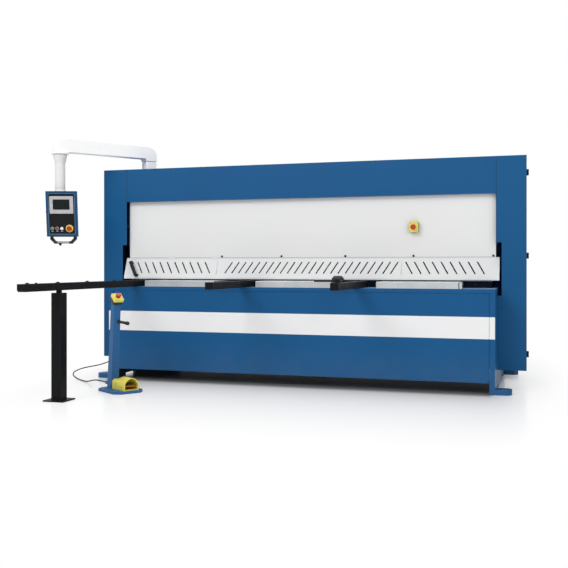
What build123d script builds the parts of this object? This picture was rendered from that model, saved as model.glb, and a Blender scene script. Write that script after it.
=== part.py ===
from build123d import *
import math
import os

# Guillotine shear, about 3.1 m cutting length, in millimetres.
# Origin: on the floor, at the centre of the four anchor holes.
# +X is to the operator's right, +Y is to the rear, +Z is up.

os.makedirs("parts", exist_ok=True)

# Driving dimensions: side frames
frame_span = 3200.0
plate = 40.0
frame_front = -685.0
frame_rear = 685.0
frame_top = 1790.0
jaw_front = -326.0
throat_low = 755.0
throat_high = 1130.0
throat_end = 20.0
throat_round = 120.0
arch_near = 250.0
arch_far = 455.0
arch_height = 22.0
foot_depth = 120.0
foot_width = 120.0
foot_thick = 40.0
foot_chamfer = 30.0
anchor_hole = 13.0
rear_slope_low = 1000.0
rear_slope_high = 1290.0
rear_upper = 480.0

# Driving dimensions: table and lower bed
table_over = 2.0
table_thick = 30.0
table_front = -687.0
apron_thick = 20.0
apron_low = 86.0
apron_front = -681.0
apron_end_gap = 2.0
apron_fold = 190.0
apron_fold_thick = 10.0
insert_height = 50.0
insert_length = 626.0
insert_pitch = 985.0
insert_centre = 36.0
insert_depth = 385.0
insert_count = 3
insert_chamfer = 3.0
seat_step = 2.0
bed_depth = 125.0
bed_low = 300.0
rib_count = 4
rib_thick = 20.0
rib_low = 130.0

# Driving dimensions: blades and knife beam
cut_line = -130.0
blade_thick = 20.0
blade_height = 80.0
blade_gap = 0.4
blade_end_gap = 5.0
blade_low = 860.0
rake_degrees = 1.5
knife_end_gap = 20.0
knife_above_blade = 10.0
knife_rib_clear = 40.0
knife_rib_tip = 120.0
knife_rib_share = 0.4
knife_plate = 60.0
knife_top = 1330.0
knife_rib_depth = 110.0
knife_rib_count = 9
knife_rib_thick = 16.0
knife_flange = 24.0

# Driving dimensions: hold-down
clamp_y = -238.0
clamp_count = 16
clamp_inset = 165.0
clamp_body_radius = 34.0
clamp_rod_radius = 16.0
clamp_pad_radius = 26.0
clamp_pad_thick = 16.0
clamp_pad_low = 862.0
clamp_body_low = 925.0
clamp_beam_low = 1060.0
clamp_beam_high = 1260.0
clamp_beam_depth = 90.0

# Driving dimensions: upper beam, drive and rear
upper_low = 1500.0
upper_front = -150.0
upper_rear = 130.0
cylinder_inset = 180.0
cylinder_y = -50.0
cylinder_radius = 80.0
cylinder_low = 1392.0
piston_radius = 45.0
tank_half = 420.0
tank_depth = 300.0
tank_low = 1330.0
tank_high = 1600.0
tank_round = 18.0
motor_radius = 75.0
motor_length = 300.0
motor_share = 0.7
motor_foot = 15.0
gauge_x = 960.0
gauge_width = 90.0
gauge_rail_low = 1010.0
gauge_rail_high = 1090.0
gauge_rail_rear = 640.0
gauge_bar_y = 330.0
gauge_bar_low = 842.0
gauge_bar_high = 900.0
gauge_bar_depth = 50.0
gauge_bar_inset = 110.0
gauge_bar_share = 0.7
tie_depth = 90.0
tie_low = 40.0
tie_high = 260.0
tie_y = 590.0
chute_high = 610.0
chute_lip = 30.0
chute_sheet = 4.0
chute_inset = 60.0

# Driving dimensions: covers
cover_over = 218.0
cover_seam_in = 8.0
cover_front = -382.0
cover_low = 152.0
cover_rise = 20.0
cover_sheet = 4.0
cover_return = 30.0
beam_low = 1523.0
notch_width = 40.0
notch_low = 728.0
notch_high = 1140.0
panel_front = -330.0
panel_in = 14.0
panel_low = 1010.0
roof_sheet = 16.0
door_over = 192.0
door_sheet = 3.0
door_fold = 22.0
door_front = -346.0
door_rear = 474.0
door_low = 160.0
door_roof_gap = 6.0
hinge_room = 0.2
hinge_ahead = 20.0
hinge_radius = 8.0
hinge_height = 46.0
hinge_levels = (279.0, 1037.0, 1678.0)
hinge_leaf = 30.0
hinge_leaf_thick = 6.0
hinge_strap = 4.0
back_panel_gap = 6.0
back_panel_lap = 16.0
door_swing_relief = 3.0
bracket_levels = (600.0, 1300.0, 1700.0)
bracket_reach = 70.0
bracket_face = 30.0
bracket_back = 60.0
bracket_thick = 20.0

# Driving dimensions: finger guard
guard_over = 15.0
guard_top = 1026.0
guard_low = 845.0
guard_bottom_y = -391.0
guard_sheet = 4.0
guard_flange = 12.0
guard_left_share = 0.2706
guard_right_share = 0.2368
guard_joint = 2.0
slot_height = 97.0
slot_lean = 58.0
slot_width = 10.0
slot_end_share = 0.3
slot_mid = 942.0
left_slot_count = 10
centre_slot_count = 24
right_slot_count = 9
left_slot_share = 0.738
centre_slot_share = 0.8986
right_slot_share = 0.7381
left_slot_centre = 0.531
centre_slot_centre = 0.5155
right_slot_centre = 0.4456
grip_inset = 93.0
grip_mid = 926.0
grip_length = 147.0
grip_width = 28.0
grip_rise = 40.0
grip_inner = 112.0
grip_inner_rise = 28.0
grip_turn = 29.0
grip_seat = 4.0

# Driving dimensions: arms in front of the table
arm_width = 60.0
arm_height = 53.0
squaring_gap = 89.0
squaring_near = -2313.0
arm_chamfer = 12.0
support_near = -1410.0
support_shares = (0.4, 0.155)
arm_end = -400.0
ball_radius = 15.0
ball_rise = 8.0
ball_share = 0.6
ball_ys = (-2240.0, -1869.0, -1466.0, -1053.0)
post_y = -1860.0
post_width = 78.0
post_base = 165.0
post_shift = 5.0
post_base_thick = 10.0
post_neck = 30.0
post_neck_high = 18.0
gauge_knob_y = -1300.0
gauge_knob_radius = 43.0
gauge_knob_height = 30.0
gauge_pivot_radius = 22.0
gauge_bar_long = 190.0
gauge_bar_wide = 36.0
gauge_bar_shift = 75.0
gauge_bar_start = 6.0
gauge_bar_thick = 14.0
gauge_knob_chamfer = 16.0

# Driving dimensions: emergency stops
stop_box = 72.0
stop_box_height = 82.0
stop_box_depth = 48.0
stop_x = 949.0
stop_z = 1269.0
stop_stem_radius = 9.0
stop_head_radius = 20.0
stop_stem_seat = 1.0
stop_socket = 9.0
stop_travel_room = 12.0
stop_head_depth = 14.0
stop_head_chamfer = 5.0
stop_box_round = 6.0

# Driving dimensions: pendant
stub_x = -1505.0
stub_y = -113.0
stub_round = 8.0
stub_width = 100.0
stub_gap = 5.0
elbow_low = 1907.0
arm_low = 1928.0
elbow_round = 88.0
inner_round = 30.0
pivot_share = 0.3
pendant_height = 104.0
pendant_width = 104.0
pendant_reach = 854.0
pendant_angle = 234.9
drop_radius = 43.0
drop_flare = 58.0
drop_flare_high = 75.0
drop_flare_rim = 14.0
drop_gap = 3.0
drop_neck = 25.0
collar_radius = 73.0
collar_high = 14.0
drop_socket = 12.0
console_low = 1206.0
console_high = 1587.0
console_width = 262.0
console_depth = 120.0
console_shift = 28.0
console_frame = 30.0
console_body_width = 190.0
console_lean = 51.0
panel_recess = 10.0
panel_thick = 6.0
screen_width = 196.0
screen_tall = 143.0
screen_up = 76.0
screen_rise = 8.0
button_xs = (-84.0, -43.0, -2.0)
button_down = 124.0
button_radius = 14.0
button_rise = 9.0
ring_x = 62.0
ring_radius = 31.0
ring_rise = 5.0
handle_half = 112.0
handle_width = 24.0
handle_drop = 60.0
handle_bend = 22.0
handle_step = 38.0
handle_bar_half = 55.0
handle_bar = 16.0
handle_thick = 24.0
handle_back = 20.0
console_wall = 18.0
console_face = 197.4

# Driving dimensions: pedestal
stand_x = -1144.5
stand_y = -1329.3
stand_angle = -34.0
stand_length = 330.0
stand_width = 250.0
stand_thick = 20.0
stand_chamfer = 45.0
column_back = -84.0
column_side = -20.0
column_foot = 66.0
column_head = 54.0
column_top = 686.0
column_lean = 50.0
hood_length = 195.0
hood_arch_length = 118.0
hood_rear_height = 74.0
hood_rear_chamfer = 16.0
hood_cavity_height = 50.0
hood_width = 122.0
hood_height = 94.0
hood_wall = 7.0
hood_front = 150.0
hood_side = 14.0
hood_back_wall = 40.0
pedal_gap = 6.0
pedal_side_gap = 8.0
pedal_low = 22.0
pedal_thick = 12.0
pedal_climb = 6.0
pedal_nose = 14.0
pedal_tread = 10.0
pedal_pin_radius = 5.0
head_tilt = 40.0
lever_height = 532.0
lever_length = 72.0
lever_radius = 7.0
lever_knob = 14.0
knob_share = 0.4
lever_fall_degrees = -11.0
lever_turn_degrees = 50.0
lever_side = 12.0

# Driving dimensions: control cord
cord_radius = 5.0
gland_height = 53.0
cabinet_low = 300.0
cabinet_high = 1250.0
cabinet_front = 60.0
cabinet_rear = 430.0
cabinet_door_gap = 30.0
gland_inset = 64.0
gland_inset_y = 48.0
gland_nut = 16.0
gland_nut_radius = 13.0
gland_tip = -172.0
gland_body_radius = 15.0
cord_lead = 62.0
gland_side = 8.0
gland_seat = 0.7
cord_bend_share = 0.45

# Worked out from the driving dimensions
frame_out = frame_span / 2
frame_in = frame_out - plate
table_top_z = throat_low + table_thick
insert_top = table_top_z + insert_height
bed_front = cut_line - blade_thick - bed_depth
bed_rear = cut_line - blade_thick
knife_face = cut_line + blade_gap
rake = math.tan(math.radians(rake_degrees))
small_gap = 0.3
pick_gap = 1.0
apron_half = frame_in - apron_end_gap
blade_half = frame_in - blade_end_gap
knife_half = frame_in - knife_end_gap
chute_half = frame_in - chute_inset
cover_half = frame_out + cover_over
cover_seam = frame_out - cover_seam_in
cover_high = frame_top + cover_rise
panel_half = frame_out - panel_in
door_out = frame_out + door_over
door_high = frame_top - door_roof_gap
cabinet_out = door_out - cabinet_door_gap
hinge_reach = cover_half + hinge_radius + hinge_room

# Side frames: thick plates with a throat in front and two low openings at the floor
for side, name in ((-1, "side_frame_left"), (1, "side_frame_right")):
    inner = -frame_out if side < 0 else frame_in
    with BuildPart() as side_frame:
        with BuildSketch(Plane.YZ.offset(inner)):
            with BuildLine():
                Polyline(
                    (frame_front, 0),
                    (-arch_far, 0),
                    (-arch_far, arch_height),
                    (-arch_near, arch_height),
                    (-arch_near, 0),
                    (arch_near, 0),
                    (arch_near, arch_height),
                    (arch_far, arch_height),
                    (arch_far, 0),
                    (frame_rear, 0),
                    (frame_rear, rear_slope_low),
                    (rear_upper, rear_slope_high),
                    (rear_upper, frame_top),
                    (jaw_front, frame_top),
                    (jaw_front, throat_high),
                    (throat_end, throat_high),
                    (throat_end, throat_low),
                    (frame_front, throat_low),
                    close=True,
                )
            make_face()
        extrude(amount=plate)
        throat_edges = side_frame.edges().filter_by(Axis.X).filter_by_position(
            Axis.Y, throat_end - pick_gap, throat_end + pick_gap
        )
        throat_corners = throat_edges.filter_by_position(Axis.Z, throat_low - pick_gap, throat_high + pick_gap)
        fillet(throat_corners, throat_round)
    side_frame.part.label = name
    export_step(side_frame.part, f"parts/{name}.step")

# Four feet with anchor holes, welded outside the side frames
with BuildPart() as frame_feet:
    for sx in (-1, 1):
        for sy in (-1, 1):
            foot_x = sx * (frame_out + foot_width / 2)
            foot_y = sy * (frame_rear - foot_depth / 2)
            with BuildSketch(Plane.XY.offset(0)):
                with Locations((foot_x, foot_y)):
                    Rectangle(foot_width, foot_depth)
            extrude(amount=foot_thick)
    outer_edges = frame_feet.edges().filter_by(Axis.Z).filter_by(
        lambda e: abs(e.center().X) > frame_out + foot_width - pick_gap
    )
    chamfer(outer_edges, foot_chamfer)
    with Locations(Plane.XY.offset(foot_thick)):
        with GridLocations(2 * frame_out + foot_width, 2 * frame_rear - foot_depth, 2, 2):
            Hole(anchor_hole, depth=foot_thick)
frame_feet.part.label = "frame_feet"
export_step(frame_feet.part, "parts/frame_feet.step")

# Table top plate
with BuildPart() as table_plate:
    with BuildSketch(Plane.XY.offset(throat_low)):
        with Locations((0, (table_front + bed_rear) / 2)):
            Rectangle(2 * (frame_out + table_over), bed_rear - table_front)
    extrude(amount=table_thick)
table_plate.part.label = "table_top"
export_step(table_plate.part, "parts/table_top.step")

# Apron plate below the table, between the side frames, with its lower edge folded back
apron_rear = apron_front + apron_thick
with BuildPart() as table_apron:
    with BuildSketch(Plane.XY.offset(apron_low)):
        with Locations((0, apron_front + apron_thick / 2)):
            Rectangle(2 * apron_half, apron_thick)
    extrude(amount=throat_low - apron_low)
    with BuildSketch(Plane.XY.offset(apron_low)):
        with Locations((0, apron_rear + apron_fold / 2)):
            Rectangle(2 * apron_half, apron_fold)
    extrude(amount=apron_fold_thick)
table_apron.part.label = "table_apron"
export_step(table_apron.part, "parts/table_apron.step")

# Bed beam behind the table
with BuildPart() as bed_beam:
    with BuildSketch(Plane.XY.offset(bed_low)):
        with Locations((0, (bed_front + bed_rear) / 2)):
            Rectangle(2 * frame_in, bed_depth)
    extrude(amount=throat_low - bed_low)
bed_beam.part.label = "bed_beam"
export_step(bed_beam.part, "parts/bed_beam.step")

# Ribs between the bed beam and the apron
rib_reach = bed_front - apron_rear
with BuildPart() as bed_ribs:
    with BuildSketch(Plane.XY.offset(rib_low)):
        with Locations((0, bed_front - rib_reach / 2)):
            with GridLocations(2 * frame_in / (rib_count + 1), 1, rib_count, 1):
                Rectangle(rib_thick, rib_reach)
    extrude(amount=throat_low - rib_low)
    rib_corners = bed_ribs.edges().filter_by(Axis.X).filter_by_position(
        Axis.Z, rib_low - pick_gap, rib_low + pick_gap
    ).filter_by_position(Axis.Y, bed_front - pick_gap, bed_front + pick_gap)
    chamfer(rib_corners, bed_low - rib_low)
bed_ribs.part.label = "bed_ribs"
export_step(bed_ribs.part, "parts/bed_ribs.step")

# Blade seat on the table's rear edge
with BuildPart() as blade_seat:
    with BuildSketch(Plane.XY.offset(table_top_z)):
        with Locations((0, bed_rear - bed_depth / 2 + insert_height / 4)):
            Rectangle(2 * blade_half, bed_depth - insert_height / 2)
    extrude(amount=insert_height - seat_step)
blade_seat.part.label = "blade_seat"
export_step(blade_seat.part, "parts/blade_seat.step")

# Bright support plates on the table
with BuildPart() as table_inserts:
    with BuildSketch(Plane.XY.offset(table_top_z)):
        with Locations((insert_centre, frame_front + insert_depth / 2)):
            with GridLocations(insert_pitch, 1, insert_count, 1):
                Rectangle(insert_length, insert_depth)
    extrude(amount=insert_height)
    insert_edges = table_inserts.edges().filter_by(Axis.X).group_by(Axis.Z)[-1]
    chamfer(insert_edges.group_by(Axis.Y)[0], insert_chamfer)
table_inserts.part.label = "table_inserts"
export_step(table_inserts.part, "parts/table_inserts.step")

# Lower blade on the rear face of the bed
with BuildPart() as lower_blade:
    with BuildSketch(Plane.XZ.offset(-bed_rear)):
        with Locations((0, insert_top - blade_height / 2)):
            Rectangle(2 * blade_half, blade_height)
    extrude(amount=-blade_thick)
lower_blade.part.label = "lower_blade"
export_step(lower_blade.part, "parts/lower_blade.step")

# Upper blade, raked so that it meets the sheet at the left end first
with BuildPart() as upper_blade:
    blade_high = blade_low + 2 * blade_half * rake
    with BuildSketch(Plane.XZ.offset(-knife_face)):
        with BuildLine():
            Polyline(
                (-blade_half, blade_low),
                (blade_half, blade_high),
                (blade_half, blade_high + blade_height),
                (-blade_half, blade_low + blade_height),
                close=True,
            )
        make_face()
    extrude(amount=-blade_thick)
upper_blade.part.label = "upper_blade"
export_step(upper_blade.part, "parts/upper_blade.step")

# Knife beam: a plate with a raked lower edge, a top flange and rear ribs
beam_face = knife_face + blade_thick
knife_left = blade_low + knife_above_blade
knife_right = knife_left + 2 * knife_half * rake
with BuildPart() as knife_beam:
    with BuildSketch(Plane.XZ.offset(-beam_face)):
        with BuildLine():
            Polyline(
                (-knife_half, knife_left),
                (knife_half, knife_right),
                (knife_half, knife_top),
                (-knife_half, knife_top),
                close=True,
            )
        make_face()
    extrude(amount=-knife_plate)
    with BuildSketch(Plane.XY.offset(knife_top)):
        with Locations((0, beam_face + (knife_plate + knife_rib_depth) / 2)):
            Rectangle(2 * knife_half, knife_plate + knife_rib_depth)
    extrude(amount=-knife_flange)
    rib_pitch = (2 * knife_half - knife_rib_thick) / (knife_rib_count - 1)
    for i in range(knife_rib_count):
        rib_x = -knife_half + i * rib_pitch
        rib_foot = knife_right + knife_rib_clear
        with BuildSketch(Plane.YZ.offset(rib_x)):
            with BuildLine():
                Polyline(
                    (beam_face + knife_plate, rib_foot),
                    (beam_face + knife_plate + knife_rib_depth * knife_rib_share, rib_foot),
                    (beam_face + knife_plate + knife_rib_depth, knife_top - knife_flange - knife_rib_tip),
                    (beam_face + knife_plate + knife_rib_depth, knife_top - knife_flange),
                    (beam_face + knife_plate, knife_top - knife_flange),
                    close=True,
                )
            make_face()
        extrude(amount=knife_rib_thick)
knife_beam.part.label = "knife_beam"
export_step(knife_beam.part, "parts/knife_beam.step")

# Hold-down beam between the side frames
with BuildPart() as hold_down_beam:
    with BuildSketch(Plane.XY.offset(clamp_beam_low)):
        with Locations((0, clamp_y)):
            Rectangle(2 * frame_in, clamp_beam_depth)
    extrude(amount=clamp_beam_high - clamp_beam_low)
hold_down_beam.part.label = "hold_down_beam"
export_step(hold_down_beam.part, "parts/hold_down_beam.step")

# Row of hold-down cylinders with rods and pads
with BuildPart() as hold_down_cylinders:
    clamp_pitch = 2 * (frame_in - clamp_inset) / (clamp_count - 1)
    for x in [(i - (clamp_count - 1) / 2) * clamp_pitch for i in range(clamp_count)]:
        with BuildSketch(Plane.XY.offset(clamp_pad_low)):
            with Locations((x, clamp_y)):
                Circle(clamp_pad_radius)
        extrude(amount=clamp_pad_thick)
        with BuildSketch(Plane.XY.offset(clamp_pad_low + clamp_pad_thick)):
            with Locations((x, clamp_y)):
                Circle(clamp_rod_radius)
        extrude(amount=clamp_body_low - clamp_pad_low - clamp_pad_thick)
        with BuildSketch(Plane.XY.offset(clamp_body_low)):
            with Locations((x, clamp_y)):
                Circle(clamp_body_radius)
        extrude(amount=clamp_beam_low - clamp_body_low)
hold_down_cylinders.part.label = "hold_down_cylinders"
export_step(hold_down_cylinders.part, "parts/hold_down_cylinders.step")

# Upper beam between the side frames
with BuildPart() as upper_beam:
    with BuildSketch(Plane.XY.offset(upper_low)):
        with Locations((0, (upper_front + upper_rear) / 2)):
            Rectangle(2 * frame_in, upper_rear - upper_front)
    extrude(amount=frame_top - upper_low)
upper_beam.part.label = "upper_beam"
export_step(upper_beam.part, "parts/upper_beam.step")

# Two drive cylinders under the upper beam, each with its rod on the knife beam
with BuildPart() as drive_cylinders:
    cylinder_x = frame_in - cylinder_inset
    for x in (-cylinder_x, cylinder_x):
        with BuildSketch(Plane.XY.offset(upper_low)):
            with Locations((x, cylinder_y)):
                Circle(cylinder_radius)
        extrude(amount=cylinder_low - upper_low)
        with BuildSketch(Plane.XY.offset(knife_top)):
            with Locations((x, cylinder_y)):
                Circle(piston_radius)
        extrude(amount=cylinder_low - knife_top)
drive_cylinders.part.label = "drive_cylinders"
export_step(drive_cylinders.part, "parts/drive_cylinders.step")

# Hydraulic unit: oil tank on the rear of the upper beam with its motor on top
with BuildPart() as hydraulic_unit:
    with BuildSketch(Plane.XY.offset(tank_low)):
        with Locations((0, upper_rear + tank_depth / 2)):
            RectangleRounded(2 * tank_half, tank_depth, tank_round)
    extrude(amount=tank_high - tank_low)
    with BuildSketch(Plane.XY.offset(tank_high)):
        with Locations((0, upper_rear + tank_depth / 2)):
            Rectangle(motor_length * motor_share, motor_radius)
    extrude(amount=motor_foot + motor_radius / 2)
    with BuildSketch(Plane.YZ.offset(-motor_length / 2)):
        with Locations((upper_rear + tank_depth / 2, tank_high + motor_foot + motor_radius)):
            Circle(motor_radius)
    extrude(amount=motor_length)
hydraulic_unit.part.label = "hydraulic_unit"
export_step(hydraulic_unit.part, "parts/hydraulic_unit.step")

# Back gauge: two slides on the knife beam's rear and the stop bar they carry
plate_rear = beam_face + knife_plate
with BuildPart() as back_gauge_slides:
    for x in (-gauge_x, gauge_x):
        with BuildSketch(Plane.XY.offset(gauge_rail_low)):
            with Locations((x, (plate_rear + gauge_rail_rear) / 2)):
                Rectangle(gauge_width, gauge_rail_rear - plate_rear)
        extrude(amount=gauge_rail_high - gauge_rail_low)
        with BuildSketch(Plane.XY.offset(gauge_bar_high)):
            with Locations((x, gauge_bar_y)):
                Rectangle(gauge_width * gauge_bar_share, gauge_bar_depth)
        extrude(amount=gauge_rail_low - gauge_bar_high)
back_gauge_slides.part.label = "back_gauge_slides"
export_step(back_gauge_slides.part, "parts/back_gauge_slides.step")

with BuildPart() as back_gauge_bar:
    with BuildSketch(Plane.XY.offset(gauge_bar_low)):
        with Locations((0, gauge_bar_y)):
            Rectangle(2 * (frame_in - gauge_bar_inset), gauge_bar_depth)
    extrude(amount=gauge_bar_high - gauge_bar_low)
back_gauge_bar.part.label = "back_gauge_bar"
export_step(back_gauge_bar.part, "parts/back_gauge_bar.step")

# Rear tie beam low between the side frames
with BuildPart() as rear_tie_beam:
    with BuildSketch(Plane.XY.offset(tie_low)):
        with Locations((0, tie_y)):
            Rectangle(2 * frame_in, tie_depth)
    extrude(amount=tie_high - tie_low)
rear_tie_beam.part.label = "rear_tie_beam"
export_step(rear_tie_beam.part, "parts/rear_tie_beam.step")

# Sheet chute from below the blades down to the rear tie beam
with BuildPart() as sheet_chute:
    chute_end = tie_y + tie_depth / 2
    with BuildSketch(Plane.YZ.offset(-chute_half)):
        with BuildLine():
            Polyline(
                (bed_rear, chute_high),
                (bed_rear, chute_high + chute_sheet),
                (bed_rear + chute_lip, chute_high + chute_sheet),
                (tie_y - tie_depth / 2, tie_high + chute_sheet),
                (chute_end, tie_high + chute_sheet),
                (chute_end, tie_high),
                (tie_y - tie_depth / 2, tie_high),
                (bed_rear + chute_lip, chute_high),
                close=True,
            )
        make_face()
    extrude(amount=2 * chute_half)
sheet_chute.part.label = "sheet_chute"
export_step(sheet_chute.part, "parts/sheet_chute.step")

# Electrical cabinet in the left side bay
with BuildPart() as electrical_cabinet:
    with BuildSketch(Plane.XY.offset(cabinet_low)):
        with Locations((-(frame_out + cabinet_out) / 2, (cabinet_front + cabinet_rear) / 2)):
            Rectangle(cabinet_out - frame_out, cabinet_rear - cabinet_front)
    extrude(amount=cabinet_high - cabinet_low)
electrical_cabinet.part.label = "electrical_cabinet"
export_step(electrical_cabinet.part, "parts/electrical_cabinet.step")

# Top cover plate on the side frames
with BuildPart() as top_cover:
    with BuildSketch(Plane.XY.offset(frame_top)):
        with Locations((0, (cover_front + cover_sheet + rear_upper) / 2)):
            Rectangle(2 * door_out, rear_upper - cover_front - cover_sheet)
    extrude(amount=roof_sheet)
top_cover.part.label = "top_cover"
export_step(top_cover.part, "parts/top_cover.step")

# Front beam cover: folded sheet with a lower return to the white panel
with BuildPart() as front_beam_cover:
    with BuildSketch(Plane.YZ.offset(-cover_seam)):
        with BuildLine():
            Polyline(
                (cover_front, beam_low),
                (panel_front, beam_low),
                (panel_front, beam_low + cover_sheet),
                (cover_front + cover_sheet, beam_low + cover_sheet),
                (cover_front + cover_sheet, cover_high),
                (cover_front, cover_high),
                close=True,
            )
        make_face()
    extrude(amount=2 * cover_seam)
front_beam_cover.part.label = "front_beam_cover"
export_step(front_beam_cover.part, "parts/front_beam_cover.step")

# Column covers: front sheet with an outer return and a notch beside the throat
for side, name in ((-1, "column_cover_left"), (1, "column_cover_right")):
    with BuildPart() as column_cover:
        with BuildSketch(Plane.XZ.offset(-cover_front)):
            with Locations((side * (cover_half + cover_seam) / 2, (cover_low + cover_high) / 2)):
                Rectangle(cover_half - cover_seam - small_gap, cover_high - cover_low)
            with Locations((side * (cover_seam + notch_width / 2), (notch_low + notch_high) / 2)):
                Rectangle(notch_width, notch_high - notch_low, mode=Mode.SUBTRACT)
            with Locations((side * (cover_seam + frame_out + small_gap) / 2, (cover_low + notch_low) / 2)):
                Rectangle(frame_out + small_gap - cover_seam, notch_low - cover_low, mode=Mode.SUBTRACT)
        extrude(amount=-cover_sheet)
        with BuildSketch(Plane.XY.offset(cover_low)):
            return_x = cover_half - cover_sheet / 2 - small_gap / 2
            with Locations((side * return_x, cover_front + cover_return / 2)):
                Rectangle(cover_sheet, cover_return)
        extrude(amount=cover_high - cover_low)
    column_cover.part.label = name
    export_step(column_cover.part, f"parts/{name}.step")

# White front panel, recessed behind the blue covers
with BuildPart() as front_panel:
    with BuildSketch(Plane.XZ.offset(-panel_front)):
        with Locations((0, (panel_low + beam_low + cover_sheet) / 2)):
            Rectangle(2 * panel_half, beam_low + cover_sheet - panel_low)
    extrude(amount=-cover_sheet)
front_panel.part.label = "front_panel"
export_step(front_panel.part, "parts/front_panel.step")

# Brackets that hold the column covers on the side frames
with BuildPart() as cover_brackets:
    for side in (-1, 1):
        for level in bracket_levels:
            with BuildSketch(Plane.XY.offset(level)):
                with BuildLine():
                    Polyline(
                        (side * frame_out, cover_front + cover_sheet),
                        (side * (frame_out + bracket_reach), cover_front + cover_sheet),
                        (side * (frame_out + bracket_reach), cover_front + cover_sheet + bracket_face),
                        (side * (frame_out + bracket_face), jaw_front + bracket_back),
                        (side * frame_out, jaw_front + bracket_back),
                        close=True,
                    )
                make_face()
            extrude(amount=bracket_thick)
cover_brackets.part.label = "cover_brackets"
export_step(cover_brackets.part, "parts/cover_brackets.step")

# Rear panels that close the side bays; the left one ends in the post that carries the door's hinges
with BuildPart() as side_back_panels:
    for side in (-1, 1):
        panel_out = cover_half if side < 0 else door_out
        with BuildSketch(Plane.XY.offset(door_low)):
            panel_y = rear_upper + cover_sheet / 2 + back_panel_gap
            with Locations((side * (frame_out + panel_out) / 2, panel_y)):
                Rectangle(panel_out - frame_out, cover_sheet)
            with Locations((side * (frame_out + cover_sheet / 2), rear_upper - back_panel_lap)):
                Rectangle(cover_sheet, 2 * (back_panel_gap + cover_sheet + back_panel_lap))
        extrude(amount=frame_top - door_low)
    with BuildSketch(Plane.XY.offset(door_low)):
        with Locations((-cover_half + cover_sheet / 2, rear_upper + cover_return / 2)):
            Rectangle(cover_sheet, cover_return)
    extrude(amount=frame_top - door_low)
side_back_panels.part.label = "side_back_panels"
export_step(side_back_panels.part, "parts/side_back_panels.step")

# Side doors: folded sheet with three hinges, at the rear edge on the left and at the front edge on the right
for side, name in ((-1, "side_door_left"), (1, "side_door_right")):
    edge_front = door_front + door_swing_relief if side < 0 else door_front
    hinge_y = door_rear + hinge_ahead if side < 0 else door_front - hinge_ahead
    with BuildPart() as side_door:
        with BuildSketch(Plane.XY.offset(door_low)):
            with Locations((side * (door_out - door_fold / 2), (edge_front + door_rear) / 2)):
                Rectangle(door_fold, door_rear - edge_front)
            with Locations((side * (door_out - door_sheet - door_fold / 2), (edge_front + door_rear) / 2)):
                Rectangle(door_fold, door_rear - edge_front - 2 * door_sheet, mode=Mode.SUBTRACT)
        extrude(amount=door_high - door_low)
        leaf_out = hinge_reach + hinge_leaf_thick / 2
        for level in hinge_levels:
            with BuildSketch(Plane.XY.offset(level - hinge_height / 2)):
                with Locations((side * hinge_reach, hinge_y)):
                    Circle(hinge_radius)
                with Locations((side * hinge_reach, hinge_y + side * hinge_leaf / 2)):
                    Rectangle(hinge_leaf_thick, hinge_leaf)
                strap_y = hinge_y + side * (hinge_leaf - hinge_strap / 2)
                with Locations((side * (door_out + leaf_out) / 2, strap_y)):
                    Rectangle(leaf_out - door_out, hinge_strap)
            extrude(amount=hinge_height)
    side_door.part.label = name
    export_step(side_door.part, f"parts/{name}.step")

# Finger guard: sloping sheets with leaning slots, in three sections
guard_half = frame_out + guard_over
guard_split_left = 2 * guard_half * guard_left_share - guard_half
guard_split_right = guard_half - 2 * guard_half * guard_right_share
guard_sections = (
    (
        "guard_left",
        -guard_half,
        guard_split_left - guard_joint,
        left_slot_count,
        left_slot_centre,
        left_slot_share,
        -1,
    ),
    (
        "guard_centre",
        guard_split_left + guard_joint,
        guard_split_right - guard_joint,
        centre_slot_count,
        centre_slot_centre,
        centre_slot_share,
        1,
    ),
    (
        "guard_right",
        guard_split_right + guard_joint,
        guard_half,
        right_slot_count,
        right_slot_centre,
        right_slot_share,
        -1,
    ),
)
guard_back = panel_front - small_gap
guard_rise = guard_top - guard_low
guard_run = guard_back - guard_bottom_y
for name, left, right, slot_count, middle, share, lean in guard_sections:
    with BuildPart() as guard:
        with BuildSketch(Plane.YZ.offset(left)):
            with BuildLine():
                Polyline(
                    (guard_back, guard_top),
                    (guard_back, guard_top - guard_flange),
                    (guard_bottom_y + guard_sheet, guard_low + guard_flange),
                    (guard_bottom_y + guard_sheet, guard_low),
                    (guard_bottom_y, guard_low),
                    (guard_bottom_y, guard_low + guard_flange),
                    (guard_back - guard_sheet, guard_top - guard_flange),
                    (guard_back - guard_sheet, guard_top),
                    close=True,
                )
            make_face()
        extrude(amount=right - left)
        slot_pitch = (right - left) * share / (slot_count - 1)
        slant = math.degrees(math.atan2(slot_height, lean * slot_lean))
        with BuildSketch(Plane.XZ.offset(-guard_bottom_y)):
            with Locations((left + (right - left) * middle, slot_mid)):
                with GridLocations(slot_pitch, 1, slot_count, 1):
                    Rectangle(math.hypot(slot_height, slot_lean), slot_width, rotation=slant)
            chamfer(vertices(), slot_width * slot_end_share)
        extrude(amount=-guard_run, mode=Mode.SUBTRACT)
    guard.part.label = name
    export_step(guard.part, f"parts/{name}.step")

# Grab handle on the left guard section, in line with its slots
with BuildPart() as guard_handle:
    slope = guard_run / guard_rise
    handle_plane = Plane(
        origin=(
            grip_inset - guard_half,
            guard_bottom_y + (grip_mid - guard_low) * slope - grip_seat,
            grip_mid,
        ),
        x_dir=(1, 0, 0),
        z_dir=(0, -guard_rise, guard_run),
    )
    with BuildSketch(handle_plane):
        Rectangle(grip_width, grip_length, rotation=grip_turn)
    extrude(amount=grip_rise)
    with BuildSketch(handle_plane):
        Rectangle(grip_width + grip_seat, grip_inner, rotation=grip_turn)
    extrude(amount=grip_inner_rise, mode=Mode.SUBTRACT)
guard_handle.part.label = "guard_handle"
export_step(guard_handle.part, "parts/guard_handle.step")

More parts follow.
